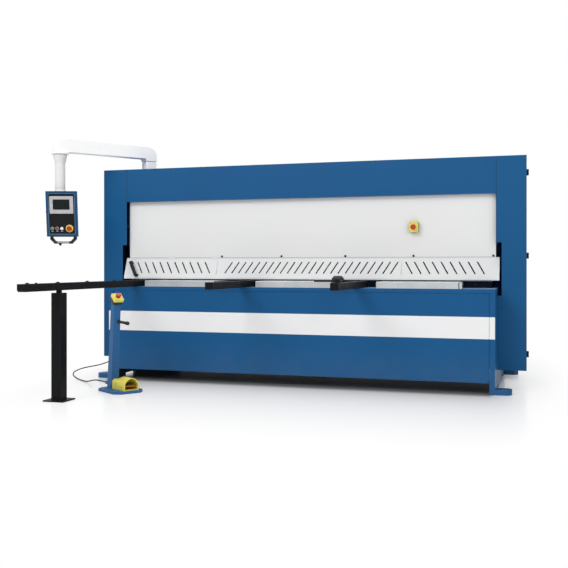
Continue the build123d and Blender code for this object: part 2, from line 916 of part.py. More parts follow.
# Squaring arm and the two shorter support arms, beside and between the table inserts
squaring_x = insert_centre - insert_pitch - insert_length / 2 - squaring_gap
insert_space = insert_pitch - insert_length
support_xs = (
    insert_centre - insert_pitch / 2 + support_shares[0] * insert_space / 2,
    insert_centre + insert_pitch / 2 + support_shares[1] * insert_space / 2,
)
with BuildPart() as squaring_arm:
    with BuildSketch(Plane.XY.offset(table_top_z)):
        with Locations((squaring_x, (squaring_near + arm_end) / 2)):
            Rectangle(arm_width, arm_end - squaring_near)
    extrude(amount=arm_height)
    near_face = squaring_arm.faces().sort_by(Axis.Y)[0]
    chamfer(near_face.edges().group_by(Axis.Z)[0], arm_chamfer)
squaring_arm.part.label = "squaring_arm"
export_step(squaring_arm.part, "parts/squaring_arm.step")

for x, name in zip(support_xs, ("support_arm_centre", "support_arm_right")):
    with BuildPart() as support_arm:
        with BuildSketch(Plane.XY.offset(table_top_z)):
            with Locations((x, (support_near + arm_end) / 2)):
                Rectangle(arm_width, arm_end - support_near)
        extrude(amount=arm_height)
    support_arm.part.label = name
    export_step(support_arm.part, f"parts/{name}.step")

# Ball transfers along the squaring arm
with BuildPart() as ball_transfers:
    arm_top = table_top_z + arm_height
    for y in ball_ys:
        with BuildSketch(Plane.XY.offset(arm_top)):
            with Locations((squaring_x, y)):
                Circle(ball_radius)
        extrude(amount=ball_rise / 2)
        with BuildSketch(Plane.XY.offset(arm_top + ball_rise / 2)):
            with Locations((squaring_x, y)):
                Circle(ball_radius * ball_share)
        extrude(amount=ball_rise / 2)
ball_transfers.part.label = "ball_transfers"
export_step(ball_transfers.part, "parts/ball_transfers.step")

# Post that carries the squaring arm's free end
with BuildPart() as support_post:
    with BuildSketch(Plane.XY):
        with Locations((squaring_x + post_shift, post_y)):
            Rectangle(post_base, post_base)
    extrude(amount=post_base_thick)
    with BuildSketch(Plane.XY.offset(post_base_thick)):
        with Locations((squaring_x + post_shift, post_y)):
            Rectangle(post_width, post_width)
    extrude(amount=table_top_z - post_neck_high - post_base_thick)
    with BuildSketch(Plane.XY.offset(table_top_z - post_neck_high)):
        with Locations((squaring_x + post_shift, post_y)):
            Rectangle(post_neck, post_neck)
    extrude(amount=post_neck_high)
support_post.part.label = "support_post"
export_step(support_post.part, "parts/support_post.step")

# Angle gauge on the right support arm: a knob and its swinging bar
with BuildPart() as angle_gauge:
    gauge_x0 = support_xs[1]
    with BuildSketch(Plane.XY.offset(arm_top + small_gap)):
        with Locations((gauge_x0, gauge_knob_y)):
            Circle(gauge_pivot_radius)
    extrude(amount=gauge_bar_start)
    with BuildSketch(Plane.XY.offset(arm_top + gauge_bar_start)):
        with Locations((gauge_x0 - gauge_bar_shift, gauge_knob_y)):
            Rectangle(gauge_bar_long, gauge_bar_wide)
    extrude(amount=gauge_bar_thick)
    with BuildSketch(Plane.XY.offset(arm_top + gauge_bar_start + gauge_bar_thick)):
        with Locations((gauge_x0, gauge_knob_y)):
            Circle(gauge_knob_radius)
    extrude(amount=gauge_knob_height)
    chamfer(angle_gauge.faces().sort_by(Axis.Z)[-1].edges(), gauge_knob_chamfer)
angle_gauge.part.label = "angle_gauge"
export_step(angle_gauge.part, "parts/angle_gauge.step")


def make_stop_button(plane, name):
    """Mushroom button: a stem in a collar and a wide head."""
    with BuildPart() as button:
        with BuildSketch(plane.offset(-stop_stem_seat)):
            Circle(stop_stem_radius)
        extrude(amount=stop_stem_seat + stop_travel_room + stop_head_chamfer)
        with BuildSketch(plane.offset(stop_travel_room)):
            Circle(stop_head_radius)
        extrude(amount=stop_head_depth)
        chamfer(button.faces().filter_by(GeomType.PLANE).sort_by(SortBy.AREA)[-1].edges(), stop_head_chamfer)
    button.part.label = name
    export_step(button.part, f"parts/{name}.step")


# Emergency stop box on the white panel
panel_stop_plane = Plane(
    origin=(stop_x, panel_front - stop_box_depth, stop_z), x_dir=(1, 0, 0), z_dir=(0, -1, 0)
)
with BuildPart() as panel_stop_box:
    with BuildSketch(Plane.XZ.offset(-panel_front)):
        with Locations((stop_x, stop_z)):
            RectangleRounded(stop_box, stop_box_height, stop_box_round)
    extrude(amount=stop_box_depth)
    with BuildSketch(panel_stop_plane):
        Circle(stop_stem_radius + small_gap)
    extrude(amount=-stop_socket, mode=Mode.SUBTRACT)
panel_stop_box.part.label = "panel_stop_box"
export_step(panel_stop_box.part, "parts/panel_stop_box.step")
make_stop_button(panel_stop_plane, "panel_stop_button")

# Pendant: a square stub on the top cover, a swinging arm and a hanging console
arm_radians = math.radians(pendant_angle)
reach_x = math.cos(arm_radians)
reach_y = math.sin(arm_radians)
drop_x = stub_x + pendant_reach * reach_x
drop_y = stub_y + pendant_reach * reach_y
roof_z = frame_top + roof_sheet
with BuildPart() as pendant_stub:
    with BuildSketch(Plane.XY.offset(roof_z)):
        with Locations((stub_x, stub_y)):
            RectangleRounded(stub_width, stub_width, stub_round, rotation=pendant_angle)
    extrude(amount=elbow_low - stub_gap - roof_z)
pendant_stub.part.label = "pendant_stub"
export_step(pendant_stub.part, "parts/pendant_stub.step")

arm_plane = Plane(origin=(stub_x, stub_y, 0), x_dir=(reach_x, reach_y, 0), z_dir=(reach_y, -reach_x, 0))
with BuildPart() as pendant_arm:
    elbow_half = pendant_width / 2
    with BuildSketch(arm_plane.offset(-elbow_half)):
        with BuildLine():
            Polyline(
                (-elbow_half, elbow_low),
                (elbow_half, elbow_low),
                (elbow_half, arm_low),
                (pendant_reach - elbow_half, arm_low),
                (pendant_reach - elbow_half, elbow_low),
                (pendant_reach + elbow_half, elbow_low),
                (pendant_reach + elbow_half, arm_low + pendant_height),
                (-elbow_half, arm_low + pendant_height),
                close=True,
            )
        make_face()
    extrude(amount=pendant_width)
    cross_edges = pendant_arm.edges().filter_by(Axis((0, 0, 0), arm_plane.z_dir))
    fillet(cross_edges.group_by(Axis.Z)[-1], elbow_round)
    inner_edges = pendant_arm.edges().filter_by(Axis((0, 0, 0), arm_plane.z_dir))
    fillet(inner_edges.filter_by_position(Axis.Z, arm_low - small_gap, arm_low + small_gap), inner_round / 2)
    with BuildSketch(Plane.XY.offset(elbow_low)):
        with Locations((drop_x, drop_y)):
            Circle(collar_radius)
    extrude(amount=collar_high)
    with BuildSketch(Plane.XY.offset(elbow_low)):
        with Locations((stub_x, stub_y)):
            Circle(stub_width * pivot_share)
    extrude(amount=-(stub_gap - small_gap))
    with BuildSketch(Plane.XY.offset(elbow_low)):
        with Locations((drop_x, drop_y)):
            Circle(drop_neck + small_gap)
    extrude(amount=drop_socket, mode=Mode.SUBTRACT)
pendant_arm.part.label = "pendant_arm"
export_step(pendant_arm.part, "parts/pendant_arm.step")

# Drop tube with a flared coupling under the arm and a neck that turns in the elbow
drop_top = elbow_low - drop_gap
with BuildPart() as drop_tube:
    with BuildSketch(Plane(origin=(drop_x, drop_y, 0), x_dir=(1, 0, 0), z_dir=(0, -1, 0))):
        with BuildLine():
            Polyline(
                (0, console_high),
                (drop_radius, console_high),
                (drop_radius, drop_top - drop_flare_high),
                (drop_flare, drop_top - drop_flare_rim),
                (drop_flare, drop_top),
                (drop_neck, drop_top),
                (drop_neck, elbow_low + drop_socket - small_gap),
                (0, elbow_low + drop_socket - small_gap),
                close=True,
            )
        make_face()
    revolve(axis=Axis((drop_x, drop_y, 0), (0, 0, 1)))
drop_tube.part.label = "drop_tube"
export_step(drop_tube.part, "parts/drop_tube.step")

# Console housing: a body on the tube and a wider front frame whose face leans out at the top
face_radians = math.radians(console_face)
face_right = (math.cos(face_radians - math.pi), math.sin(face_radians - math.pi), 0)
face_flat = (face_right[1], -face_right[0], 0)
console_tall = console_high - console_low
console_mid = (console_low + console_high) / 2
face_slope = math.atan2(console_lean, console_tall)
face_tall = math.hypot(console_lean, console_tall)
face_out = (
    face_flat[0] * math.cos(face_slope),
    face_flat[1] * math.cos(face_slope),
    -math.sin(face_slope),
)
console_plane = Plane(
    origin=(
        drop_x + face_flat[0] * console_depth / 2 + face_right[0] * console_shift,
        drop_y + face_flat[1] * console_depth / 2 + face_right[1] * console_shift,
        console_mid,
    ),
    x_dir=face_right,
    z_dir=face_out,
)
console_side = Plane(
    origin=(drop_x + face_right[0] * console_shift, drop_y + face_right[1] * console_shift, 0),
    x_dir=face_flat,
    z_dir=(-face_right[0], -face_right[1], 0),
)
face_mid = console_depth / 2
face_top = face_mid + console_lean / 2
face_foot = face_mid - console_lean / 2
with BuildPart() as console_housing:
    with BuildSketch(console_side):
        with BuildLine():
            Polyline(
                (face_foot - console_frame, console_low),
                (face_top - console_frame, console_high),
                (-face_mid, console_high),
                (-face_mid, console_low),
                close=True,
            )
        make_face()
    extrude(amount=console_body_width / 2, both=True)
    with BuildSketch(console_side):
        with BuildLine():
            Polyline(
                (face_foot, console_low),
                (face_top, console_high),
                (face_top - console_frame, console_high),
                (face_foot - console_frame, console_low),
                close=True,
            )
        make_face()
    extrude(amount=console_width / 2, both=True)
    with BuildSketch(console_plane):
        Rectangle(console_width - 2 * console_wall, face_tall - 2 * console_wall)
    extrude(amount=-panel_recess - panel_thick, mode=Mode.SUBTRACT)
console_housing.part.label = "console_housing"
export_step(console_housing.part, "parts/console_housing.step")

# Control panel in the front frame: screen unit, three buttons and the emergency stop's ring
with BuildPart() as console_panel:
    with BuildSketch(console_plane.offset(-panel_recess - panel_thick)):
        Rectangle(console_width - 2 * console_wall, face_tall - 2 * console_wall)
    extrude(amount=panel_thick)
    with BuildSketch(console_plane.offset(-panel_recess)):
        with Locations((0, screen_up)):
            Rectangle(screen_width, screen_tall)
    extrude(amount=screen_rise)
    with BuildSketch(console_plane.offset(-panel_recess)):
        for x in button_xs:
            with Locations((x, -button_down)):
                Circle(button_radius)
    extrude(amount=button_rise)
    with BuildSketch(console_plane.offset(-panel_recess)):
        with Locations((ring_x, -button_down)):
            Circle(ring_radius)
    extrude(amount=ring_rise)
    with BuildSketch(console_plane.offset(ring_rise - panel_recess)):
        with Locations((ring_x, -button_down)):
            Circle(stop_stem_radius + small_gap)
    extrude(amount=-stop_socket, mode=Mode.SUBTRACT)
console_panel.part.label = "console_panel"
export_step(console_panel.part, "parts/console_panel.step")
console_stop_origin = console_plane.from_local_coords((ring_x, -button_down, ring_rise - panel_recess))
make_stop_button(Plane(origin=console_stop_origin, x_dir=face_right, z_dir=face_out), "console_stop_button")

# Handle below the console: two angled ends and a bar
handle_plane = Plane(
    origin=(
        drop_x + face_right[0] * console_shift - face_flat[0] * handle_back,
        drop_y + face_right[1] * console_shift - face_flat[1] * handle_back,
        console_low,
    ),
    x_dir=face_right,
    z_dir=face_flat,
)
handle_inner = handle_half - handle_width
with BuildPart() as console_handle:
    with BuildSketch(handle_plane):
        for s in (-1, 1):
            with BuildLine():
                Polyline(
                    (s * handle_half, 0),
                    (s * handle_half, -handle_bend),
                    (s * (handle_half - handle_step), -handle_drop),
                    (s * (handle_bar_half - handle_bar / 2), -handle_drop),
                    (s * (handle_bar_half - handle_bar / 2), -handle_step),
                    (s * (handle_inner - handle_width), -handle_step),
                    (s * handle_inner, -handle_bend / 2),
                    (s * handle_inner, 0),
                    close=True,
                )
            make_face()
        with Locations((0, -(handle_drop + handle_step) / 2)):
            Rectangle(2 * handle_bar_half, handle_bar)
    extrude(amount=handle_thick)
console_handle.part.label = "console_handle"
export_step(console_handle.part, "parts/console_handle.step")

# Pedestal: base plate, leaning column and a hood for the foot switch
stand_radians = math.radians(stand_angle)
fore = (math.cos(stand_radians), math.sin(stand_radians), 0)
stand_plane = Plane(origin=(stand_x, stand_y, 0), x_dir=fore, z_dir=(0, 0, 1))
tilt = math.radians(head_tilt)
head_normal = (fore[0] * math.sin(tilt), fore[1] * math.sin(tilt), math.cos(tilt))
head_across = (-fore[1], fore[0], 0)
head_origin = stand_plane.from_local_coords((column_back + column_lean, column_side, column_top))
head_plane = Plane(origin=head_origin, x_dir=head_across, z_dir=head_normal)
head_rise = column_head * math.tan(tilt)
column_slope = column_lean / (column_top - stand_thick)
with BuildPart() as pedestal_stand:
    with BuildSketch(stand_plane):
        Rectangle(stand_length, stand_width)
        chamfer(vertices(), stand_chamfer)
    extrude(amount=stand_thick)
    with BuildSketch(stand_plane.offset(stand_thick)):
        with Locations((column_back, column_side)):
            Rectangle(column_foot, column_foot)
    with BuildSketch(stand_plane.offset(column_top + head_rise)):
        with Locations((column_back + column_lean + column_slope * head_rise, column_side)):
            Rectangle(column_head, column_head)
    loft()
    split(bisect_by=head_plane, keep=Keep.BOTTOM)
pedestal_stand.part.label = "pedestal_stand"
export_step(pedestal_stand.part, "parts/pedestal_stand.step")

with BuildPart() as pedestal_stop_box:
    with BuildSketch(head_plane):
        RectangleRounded(stop_box + stop_box_round, stop_box + stop_box_round, stop_box_round)
    extrude(amount=stop_box_depth)
    with BuildSketch(head_plane.offset(stop_box_depth)):
        Circle(stop_stem_radius + small_gap)
    extrude(amount=-stop_socket, mode=Mode.SUBTRACT)
pedestal_stop_box.part.label = "pedestal_stop_box"
export_step(pedestal_stop_box.part, "parts/pedestal_stop_box.step")
make_stop_button(head_plane.offset(stop_box_depth), "pedestal_stop_button")

# Lever with a ball knob on the column
lever_fall = math.radians(lever_fall_degrees)
lever_turn = stand_radians + math.radians(lever_turn_degrees)
lever_dir = (
    math.cos(lever_turn) * math.cos(lever_fall),
    math.sin(lever_turn) * math.cos(lever_fall),
    math.sin(lever_fall),
)
column_share = (lever_height - stand_thick) / (column_top - stand_thick)
lever_width = column_foot + (column_head - column_foot) * column_share
lever_start = column_back + column_lean * column_share + lever_width / 2 - pick_gap
lever_origin = stand_plane.from_local_coords((lever_start, column_side + lever_side, lever_height))
with BuildPart() as pedestal_lever:
    with BuildSketch(Plane(origin=lever_origin, z_dir=lever_dir)):
        Circle(lever_radius)
    extrude(amount=lever_length)
    knob_plane = Plane(origin=lever_origin, z_dir=lever_dir).offset(lever_length - lever_knob)
    with BuildSketch(knob_plane):
        Circle(lever_knob)
    extrude(amount=2 * lever_knob)
    knob_end = pedestal_lever.faces().sort_by(Axis(knob_plane.origin, knob_plane.z_dir))[-1]
    chamfer(knob_end.edges(), lever_knob * knob_share)
pedestal_lever.part.label = "pedestal_lever"
export_step(pedestal_lever.part, "parts/pedestal_lever.step")

hood_plane = Plane(
    origin=stand_plane.from_local_coords((hood_front, hood_side, stand_thick)),
    x_dir=head_across,
    z_dir=fore,
)
arch_centre = hood_height - hood_width / 2
inner_half = hood_width / 2 - hood_wall
with BuildPart() as foot_switch_hood:
    with BuildSketch(hood_plane):
        with BuildLine():
            Line((-hood_width / 2, 0), (hood_width / 2, 0))
            Line((hood_width / 2, 0), (hood_width / 2, arch_centre))
            CenterArc((0, arch_centre), hood_width / 2, 0, 180)
            Line((-hood_width / 2, arch_centre), (-hood_width / 2, 0))
        make_face()
    extrude(amount=-hood_arch_length)
    with BuildSketch(hood_plane.offset(-hood_arch_length)):
        with Locations((0, hood_rear_height / 2)):
            Rectangle(hood_width, hood_rear_height)
        chamfer(vertices().group_by(Axis.Y)[-1], hood_rear_chamfer)
    extrude(amount=hood_arch_length - hood_length)
    with BuildSketch(hood_plane):
        with BuildLine():
            Line((-inner_half, hood_wall), (inner_half, hood_wall))
            Line((inner_half, hood_wall), (inner_half, arch_centre))
            CenterArc((0, arch_centre), inner_half, 0, 180)
            Line((-inner_half, arch_centre), (-inner_half, hood_wall))
        make_face()
    extrude(amount=hood_wall - hood_arch_length, mode=Mode.SUBTRACT)
    with BuildSketch(hood_plane):
        with Locations((0, (hood_wall + hood_cavity_height) / 2)):
            Rectangle(2 * inner_half, hood_cavity_height - hood_wall)
    extrude(amount=hood_back_wall - hood_length, mode=Mode.SUBTRACT)
foot_switch_hood.part.label = "foot_switch_hood"
export_step(foot_switch_hood.part, "parts/foot_switch_hood.step")

# Foot pedal inside the hood, hinged at its rear
with BuildPart() as foot_pedal:
    pedal_half = inner_half - pedal_side_gap
    pedal_back = hood_back_wall + pedal_gap - hood_length
    pedal_pin = pedal_back + pedal_side_gap
    pedal_side = Plane(
        origin=hood_plane.from_local_coords((-pedal_half, 0, 0)),
        x_dir=fore,
        z_dir=(-head_across[0], -head_across[1], 0),
    )
    with BuildSketch(pedal_side):
        with BuildLine():
            Polyline(
                (pedal_back, pedal_low),
                (pedal_back, pedal_low + pedal_thick),
                (-pedal_nose - pedal_tread, pedal_low + pedal_thick + pedal_climb),
                (-pedal_nose, pedal_low + pedal_thick),
                (-pedal_nose, pedal_low + pedal_climb),
                close=True,
            )
        make_face()
    extrude(amount=-2 * pedal_half)
    with BuildSketch(pedal_side.offset(pedal_side_gap - small_gap)):
        with Locations((pedal_pin, pedal_low + pedal_thick / 2)):
            Circle(pedal_pin_radius)
    extrude(amount=-2 * (inner_half - small_gap))
foot_pedal.part.label = "foot_pedal"
export_step(foot_pedal.part, "parts/foot_pedal.step")

# Cord glands: one on the pedestal, one under the electrical cabinet
gland_back = column_back - column_foot / 2 + gland_seat
cord_start = stand_plane.from_local_coords((gland_tip, column_side - gland_side, gland_height))
cord_end = (gland_inset - cabinet_out, cabinet_front + gland_inset_y, cabinet_low - gland_nut)
with BuildPart() as pedestal_gland:
    gland_root = stand_plane.from_local_coords((gland_back, column_side - gland_side, gland_height))
    with BuildSketch(Plane(origin=gland_root, z_dir=(-fore[0], -fore[1], 0))):
        Circle(gland_body_radius)
    extrude(amount=gland_back - gland_tip)
pedestal_gland.part.label = "pedestal_gland"
export_step(pedestal_gland.part, "parts/pedestal_gland.step")

with BuildPart() as cabinet_gland:
    with BuildSketch(Plane.XY.offset(cabinet_low)):
        with Locations((cord_end[0], cord_end[1])):
            RegularPolygon(gland_nut_radius, 6)
    extrude(amount=-gland_nut)
cabinet_gland.part.label = "cabinet_gland"
export_step(cabinet_gland.part, "parts/cabinet_gland.step")

# Control cord from the pedestal over the floor and up into the left bay
gland_turn = stand_plane.from_local_coords((gland_tip - cord_lead, column_side - gland_side, gland_height))
cord_points = [
    (cord_start.X, cord_start.Y, cord_start.Z),
    (gland_turn.X, gland_turn.Y, gland_turn.Z),
    (-1440.0, -1152.0, 51.0),
    (-1545.0, -1052.0, 33.0),
    (-1640.0, -973.0, 5.5),
    (-1738.0, -904.0, 5.5),
    (-1830.0, -815.0, 5.5),
    (-1918.0, -712.0, 5.5),
    (-2000.0, -600.0, 5.5),
    (-2066.0, -485.0, 5.5),
    (-2118.0, -360.0, 5.5),
    (-2150.0, -235.0, 5.5),
    (-2166.0, -115.0, 5.5),
    (-2150.0, -20.0, 6.5),
    (-2075.0, 18.0, 22.0),
    (-1985.0, 32.0, 56.0),
    (-1890.0, 50.0, 90.0),
    (cord_end[0] - 108, cord_end[1] - 32, cord_end[2] - 160),
    (cord_end[0] - 40, cord_end[1] - 10, cord_end[2] - 114),
    (cord_end[0], cord_end[1], cord_end[2] - 54),
    cord_end,
]
runs = [Vector(*b) - Vector(*a) for a, b in zip(cord_points, cord_points[1:])]
cord_radii = []
for before, after in zip(runs, runs[1:]):
    turn = math.radians(before.get_angle(after))
    cord_radii.append(cord_bend_share * min(before.length, after.length) / math.tan(turn / 2))
print("cord radii:", [round(r) for r in cord_radii])
with BuildPart() as control_cord:
    with BuildLine() as cord_path:
        FilletPolyline(*cord_points, radius=cord_radii)
    with BuildSketch(Plane(origin=cord_points[0], z_dir=runs[0])):
        Circle(cord_radius)
    sweep()
cord_length = cord_path.wire().length
cord_volume = math.pi * cord_radius**2 * cord_length
print("cord length:", round(cord_length), "volume ratio:", round(control_cord.part.volume / cord_volume, 4))
control_cord.part.label = "control_cord"
export_step(control_cord.part, "parts/control_cord.step")
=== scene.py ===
import math

import bmesh
import bpy
from mathutils import Matrix, Vector


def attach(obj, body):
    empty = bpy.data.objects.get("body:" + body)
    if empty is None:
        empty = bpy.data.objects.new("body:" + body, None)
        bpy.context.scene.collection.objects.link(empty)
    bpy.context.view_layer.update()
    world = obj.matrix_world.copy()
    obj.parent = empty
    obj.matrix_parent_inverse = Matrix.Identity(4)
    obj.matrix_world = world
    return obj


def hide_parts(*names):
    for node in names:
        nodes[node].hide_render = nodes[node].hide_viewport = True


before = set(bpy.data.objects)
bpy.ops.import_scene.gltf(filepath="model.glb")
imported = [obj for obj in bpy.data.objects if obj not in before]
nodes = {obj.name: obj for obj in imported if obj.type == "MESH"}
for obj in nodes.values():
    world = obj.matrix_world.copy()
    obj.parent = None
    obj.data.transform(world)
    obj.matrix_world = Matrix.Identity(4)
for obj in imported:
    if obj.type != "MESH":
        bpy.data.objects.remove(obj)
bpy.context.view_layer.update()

scene = bpy.context.scene

WORN_HIGHLIGHT_RADIUS = 0.0025
BEVEL_ANGLE = math.radians(40)
SMOOTH_ANGLE = math.radians(35)
WELD_DISTANCE = 0.00002


# Node materials
def new_material(name):
    """An empty node material with its shader and its output."""
    made = bpy.data.materials.new(name)
    made.use_nodes = True
    tree = made.node_tree
    tree.nodes.clear()
    output = tree.nodes.new("ShaderNodeOutputMaterial")
    shader = tree.nodes.new("ShaderNodeBsdfPrincipled")
    tree.links.new(shader.outputs["BSDF"], output.inputs["Surface"])
    return made, tree, shader


def add(tree, kind, **values):
    """A shader node with its settings and its unlinked inputs."""
    node = tree.nodes.new(kind)
    for key, value in values.items():
        if hasattr(node, key):
            setattr(node, key, value)
        else:
            node.inputs[key.replace("_", " ")].default_value = value
    return node


def noise(tree, scale, detail=3.0, stretch=(1, 1, 1)):
    """Noise in the row frame, finer along the axes that are stretched."""
    place = add(tree, "ShaderNodeTexCoord")
    mapping = add(tree, "ShaderNodeMapping")
    mapping.inputs["Scale"].default_value = stretch
    tree.links.new(place.outputs["Object"], mapping.inputs["Vector"])
    node = add(tree, "ShaderNodeTexNoise", Scale=scale, Detail=detail)
    tree.links.new(mapping.outputs["Vector"], node.inputs["Vector"])
    return node.outputs["Fac"]


def span(tree, value, low, high, start=0.0, end=1.0):
    """A value mapped from start..end to low..high."""
    node = add(tree, "ShaderNodeMapRange")
    tree.links.new(value, node.inputs["Value"])
    node.inputs["From Min"].default_value = start
    node.inputs["From Max"].default_value = end
    node.inputs["To Min"].default_value = low
    node.inputs["To Max"].default_value = high
    return node.outputs["Result"]


def mix(tree, share, first, second):
    """A colour between two colours or colour outputs."""
    node = add(tree, "ShaderNodeMix", data_type="RGBA")
    for socket, value in (("Factor", share), (6, first), (7, second)):
        place = node.inputs[socket]
        if isinstance(value, bpy.types.NodeSocket):
            tree.links.new(value, place)
        else:
            place.default_value = value
    return node.outputs[2]


def bump(tree, shader, height, strength, distance):
    """Fine relief on the shader's normal."""
    node = add(tree, "ShaderNodeBump", Strength=strength, Distance=distance)
    tree.links.new(height, node.inputs["Height"])
    tree.links.new(node.outputs["Normal"], shader.inputs["Normal"])


def srgb(red, green, blue):
    """8-bit display colour as a linear colour."""
    def linear(value):
        """One channel, by the sRGB curve."""
        share = value / 255
        return share / 12.92 if share <= 0.04045 else ((share + 0.055) / 1.055) ** 2.4
    return (linear(red), linear(green), linear(blue), 1.0)


def position(tree, axis):
    """One coordinate of the row frame."""
    place = add(tree, "ShaderNodeTexCoord")
    split = add(tree, "ShaderNodeSeparateXYZ")
    tree.links.new(place.outputs["Object"], split.inputs[0])
    return split.outputs[axis]


def away_from_middle(tree, axis):
    """The distance from the machine's middle plane along one axis."""
    node = add(tree, "ShaderNodeMath", operation="ABSOLUTE")
    tree.links.new(position(tree, axis), node.inputs[0])
    return node.outputs[0]


def along(tree, direction):
    """How far a point of the row frame lies along a direction."""
    place = add(tree, "ShaderNodeTexCoord")
    node = add(tree, "ShaderNodeVectorMath", operation="DOT_PRODUCT")
    tree.links.new(place.outputs["Object"], node.inputs[0])
    node.inputs[1].default_value = tuple(direction)
    return node.outputs["Value"]


def combined(tree, operation, first, second):
    """The result of a Math node on two values."""
    node = add(tree, "ShaderNodeMath", operation=operation)
    tree.links.new(first, node.inputs[0])
    tree.links.new(second, node.inputs[1])
    return node.outputs[0]


def times(tree, first, second):
    """The product of two values."""
    return combined(tree, "MULTIPLY", first, second)


def shade(tree, colour, amount):
    """A colour made lighter or darker by a value near 1."""
    node = add(tree, "ShaderNodeVectorMath", operation="SCALE")
    if isinstance(colour, bpy.types.NodeSocket):
        tree.links.new(colour, node.inputs[0])
    else:
        node.inputs[0].default_value = colour[:3]
    tree.links.new(amount, node.inputs["Scale"])
    return node.outputs[0]


def worn_highlit_edges(tree, tint, bare, amount):
    """Edges rubbed lighter in patches, where the rounded normal leaves the flat one: partly real wear, partly a
    painted edge highlight.
    """
    round_off = add(tree, "ShaderNodeBevel", samples=4)
    round_off.inputs["Radius"].default_value = WORN_HIGHLIGHT_RADIUS
    geometry = add(tree, "ShaderNodeNewGeometry")
    agree = add(tree, "ShaderNodeVectorMath", operation="DOT_PRODUCT")
    tree.links.new(round_off.outputs["Normal"], agree.inputs[0])
    tree.links.new(geometry.outputs["Normal"], agree.inputs[1])
    edge = span(tree, agree.outputs["Value"], amount, 0.0, 0.90, 0.995)
    patchy = times(tree, edge, span(tree, noise(tree, 35.0, 4.0), 0.0, 1.0, 0.42, 0.62))
    return mix(tree, patchy, tint, bare)


def band(tree, value, low, high, soft=0.0006):
    """1 where a coordinate lies between low and high."""
    above = span(tree, value, 0.0, 1.0, low - soft, low + soft)
    below = span(tree, value, 1.0, 0.0, high - soft, high + soft)
    return times(tree, above, below)


def paint(name, colour, roughness=0.42, peel=0.25, tone=0.06, dust=0.0, gloss=0.18, wear_and_highlight=0.25, regions=()):
    """Sprayed machine paint: tone changes, orange peel, thin edges that are partly a painted edge highlight, and
    settled dust near the floor.
    """
    made, tree, shader = new_material(name)
    patches = span(tree, noise(tree, 1.3, 4.0), 1 - tone, 1 + tone, 0.3, 0.7)
    tint = shade(tree, colour, patches)
    for region, other in regions:
        tint = mix(tree, region(tree), tint, other)
    if dust:
        low = span(tree, position(tree, "Z"), dust, 0.0, 0.0, 0.35)
        tint = mix(tree, times(tree, low, noise(tree, 7.0, 5.0)), tint, DUST)
    # Lighter edges: partly worn paint, partly a painted edge highlight
    if wear_and_highlight:
        tint = worn_highlit_edges(tree, tint, BARE_STEEL_HIGHLIGHT, wear_and_highlight)
    tree.links.new(tint, shader.inputs["Base Color"])
    tree.links.new(span(tree, noise(tree, 9.0, 5.0), roughness - 0.05, roughness + 0.06, 0.3, 0.7),
                   shader.inputs["Roughness"])
    shader.inputs["Specular IOR Level"].default_value = gloss
    bump(tree, shader, noise(tree, 260.0, 2.0), peel, 0.0002)
    return made


def metal(name, colour, roughness, stretch, grain=900.0, depth=0.15, stain=0.12):
    """Ground or brushed steel, with its grain along the short axis of the stretch."""
    made, tree, shader = new_material(name)
    shader.inputs["Metallic"].default_value = 0.85
    lines = noise(tree, grain, 2.0, stretch)
    tint = shade(tree, colour, span(tree, lines, 0.88, 1.08, 0.3, 0.7))
    tint = shade(tree, tint, span(tree, noise(tree, 5.0, 5.0), 1 - stain, 1.0, 0.35, 0.6))
    tree.links.new(tint, shader.inputs["Base Color"])
    tree.links.new(span(tree, noise(tree, 14.0, 4.0), roughness - 0.06, roughness + 0.1, 0.3, 0.7),
                   shader.inputs["Roughness"])
    bump(tree, shader, lines, depth, 0.0001)
    return made


def plastic(name, colour, roughness=0.38, grain=1400.0, depth=0.1, wear_and_highlight=0.0, gloss=0.4, regions=()):
    """Moulded plastic with a fine texture and rubbed edges that are partly a painted edge highlight."""
    made, tree, shader = new_material(name)
    tint = shade(tree, colour, span(tree, noise(tree, 30.0, 3.0), 0.94, 1.05, 0.3, 0.7))
    for region, other in regions:
        tint = mix(tree, region(tree), tint, other)
    if wear_and_highlight:
        tint = worn_highlit_edges(tree, tint, RUBBED_GREY_HIGHLIGHT, wear_and_highlight)
    tree.links.new(tint, shader.inputs["Base Color"])
    tree.links.new(span(tree, noise(tree, 60.0, 3.0), roughness - 0.04, roughness + 0.05, 0.3, 0.7),
                   shader.inputs["Roughness"])
    shader.inputs["Specular IOR Level"].default_value = gloss
    bump(tree, shader, noise(tree, grain, 2.0), depth, 0.0001)
    return made


# Colours and measures of the object, in the row frame
BLUE = srgb(12, 79, 127)
COLUMN_BLUE = srgb(10, 80, 127)
WHITE = srgb(222, 222, 221)
GUARD_WHITE = srgb(218, 219, 219)
# Lit and shaded copies of one white paint: the arm lighter and the tube darker, as painted light and shade
ARM_LIT_WHITE = srgb(246, 246, 245)
TUBE_SHADED_WHITE = srgb(220, 220, 220)
STRIPE_WHITE = srgb(228, 228, 228)
BLACK = srgb(11, 12, 14)
STEEL = srgb(186, 190, 192)
YELLOW = srgb(220, 208, 88)
RED = srgb(184, 44, 24)
DUST = srgb(150, 150, 148)
# Edge colours: partly bare and rubbed material, partly a painted edge highlight
BARE_STEEL_HIGHLIGHT = srgb(150, 154, 158)
RUBBED_GREY_HIGHLIGHT = srgb(120, 120, 120)
# Painted shadow line along the guard's upper edge
SEAM_SHADOW_GREY = srgb(120, 120, 120)
# Painted shade under the machine
UNDERSIDE_SHADE_BLACK = srgb(12, 12, 13)
# Painted highlight on the table's upper face
TABLE_LIT_BLUE = srgb(84, 124, 166)
# Painted shade inside the guard's slots
SLOT_SHADE_BLACK = srgb(16, 17, 19)
BOX_GREY = srgb(34, 34, 35)

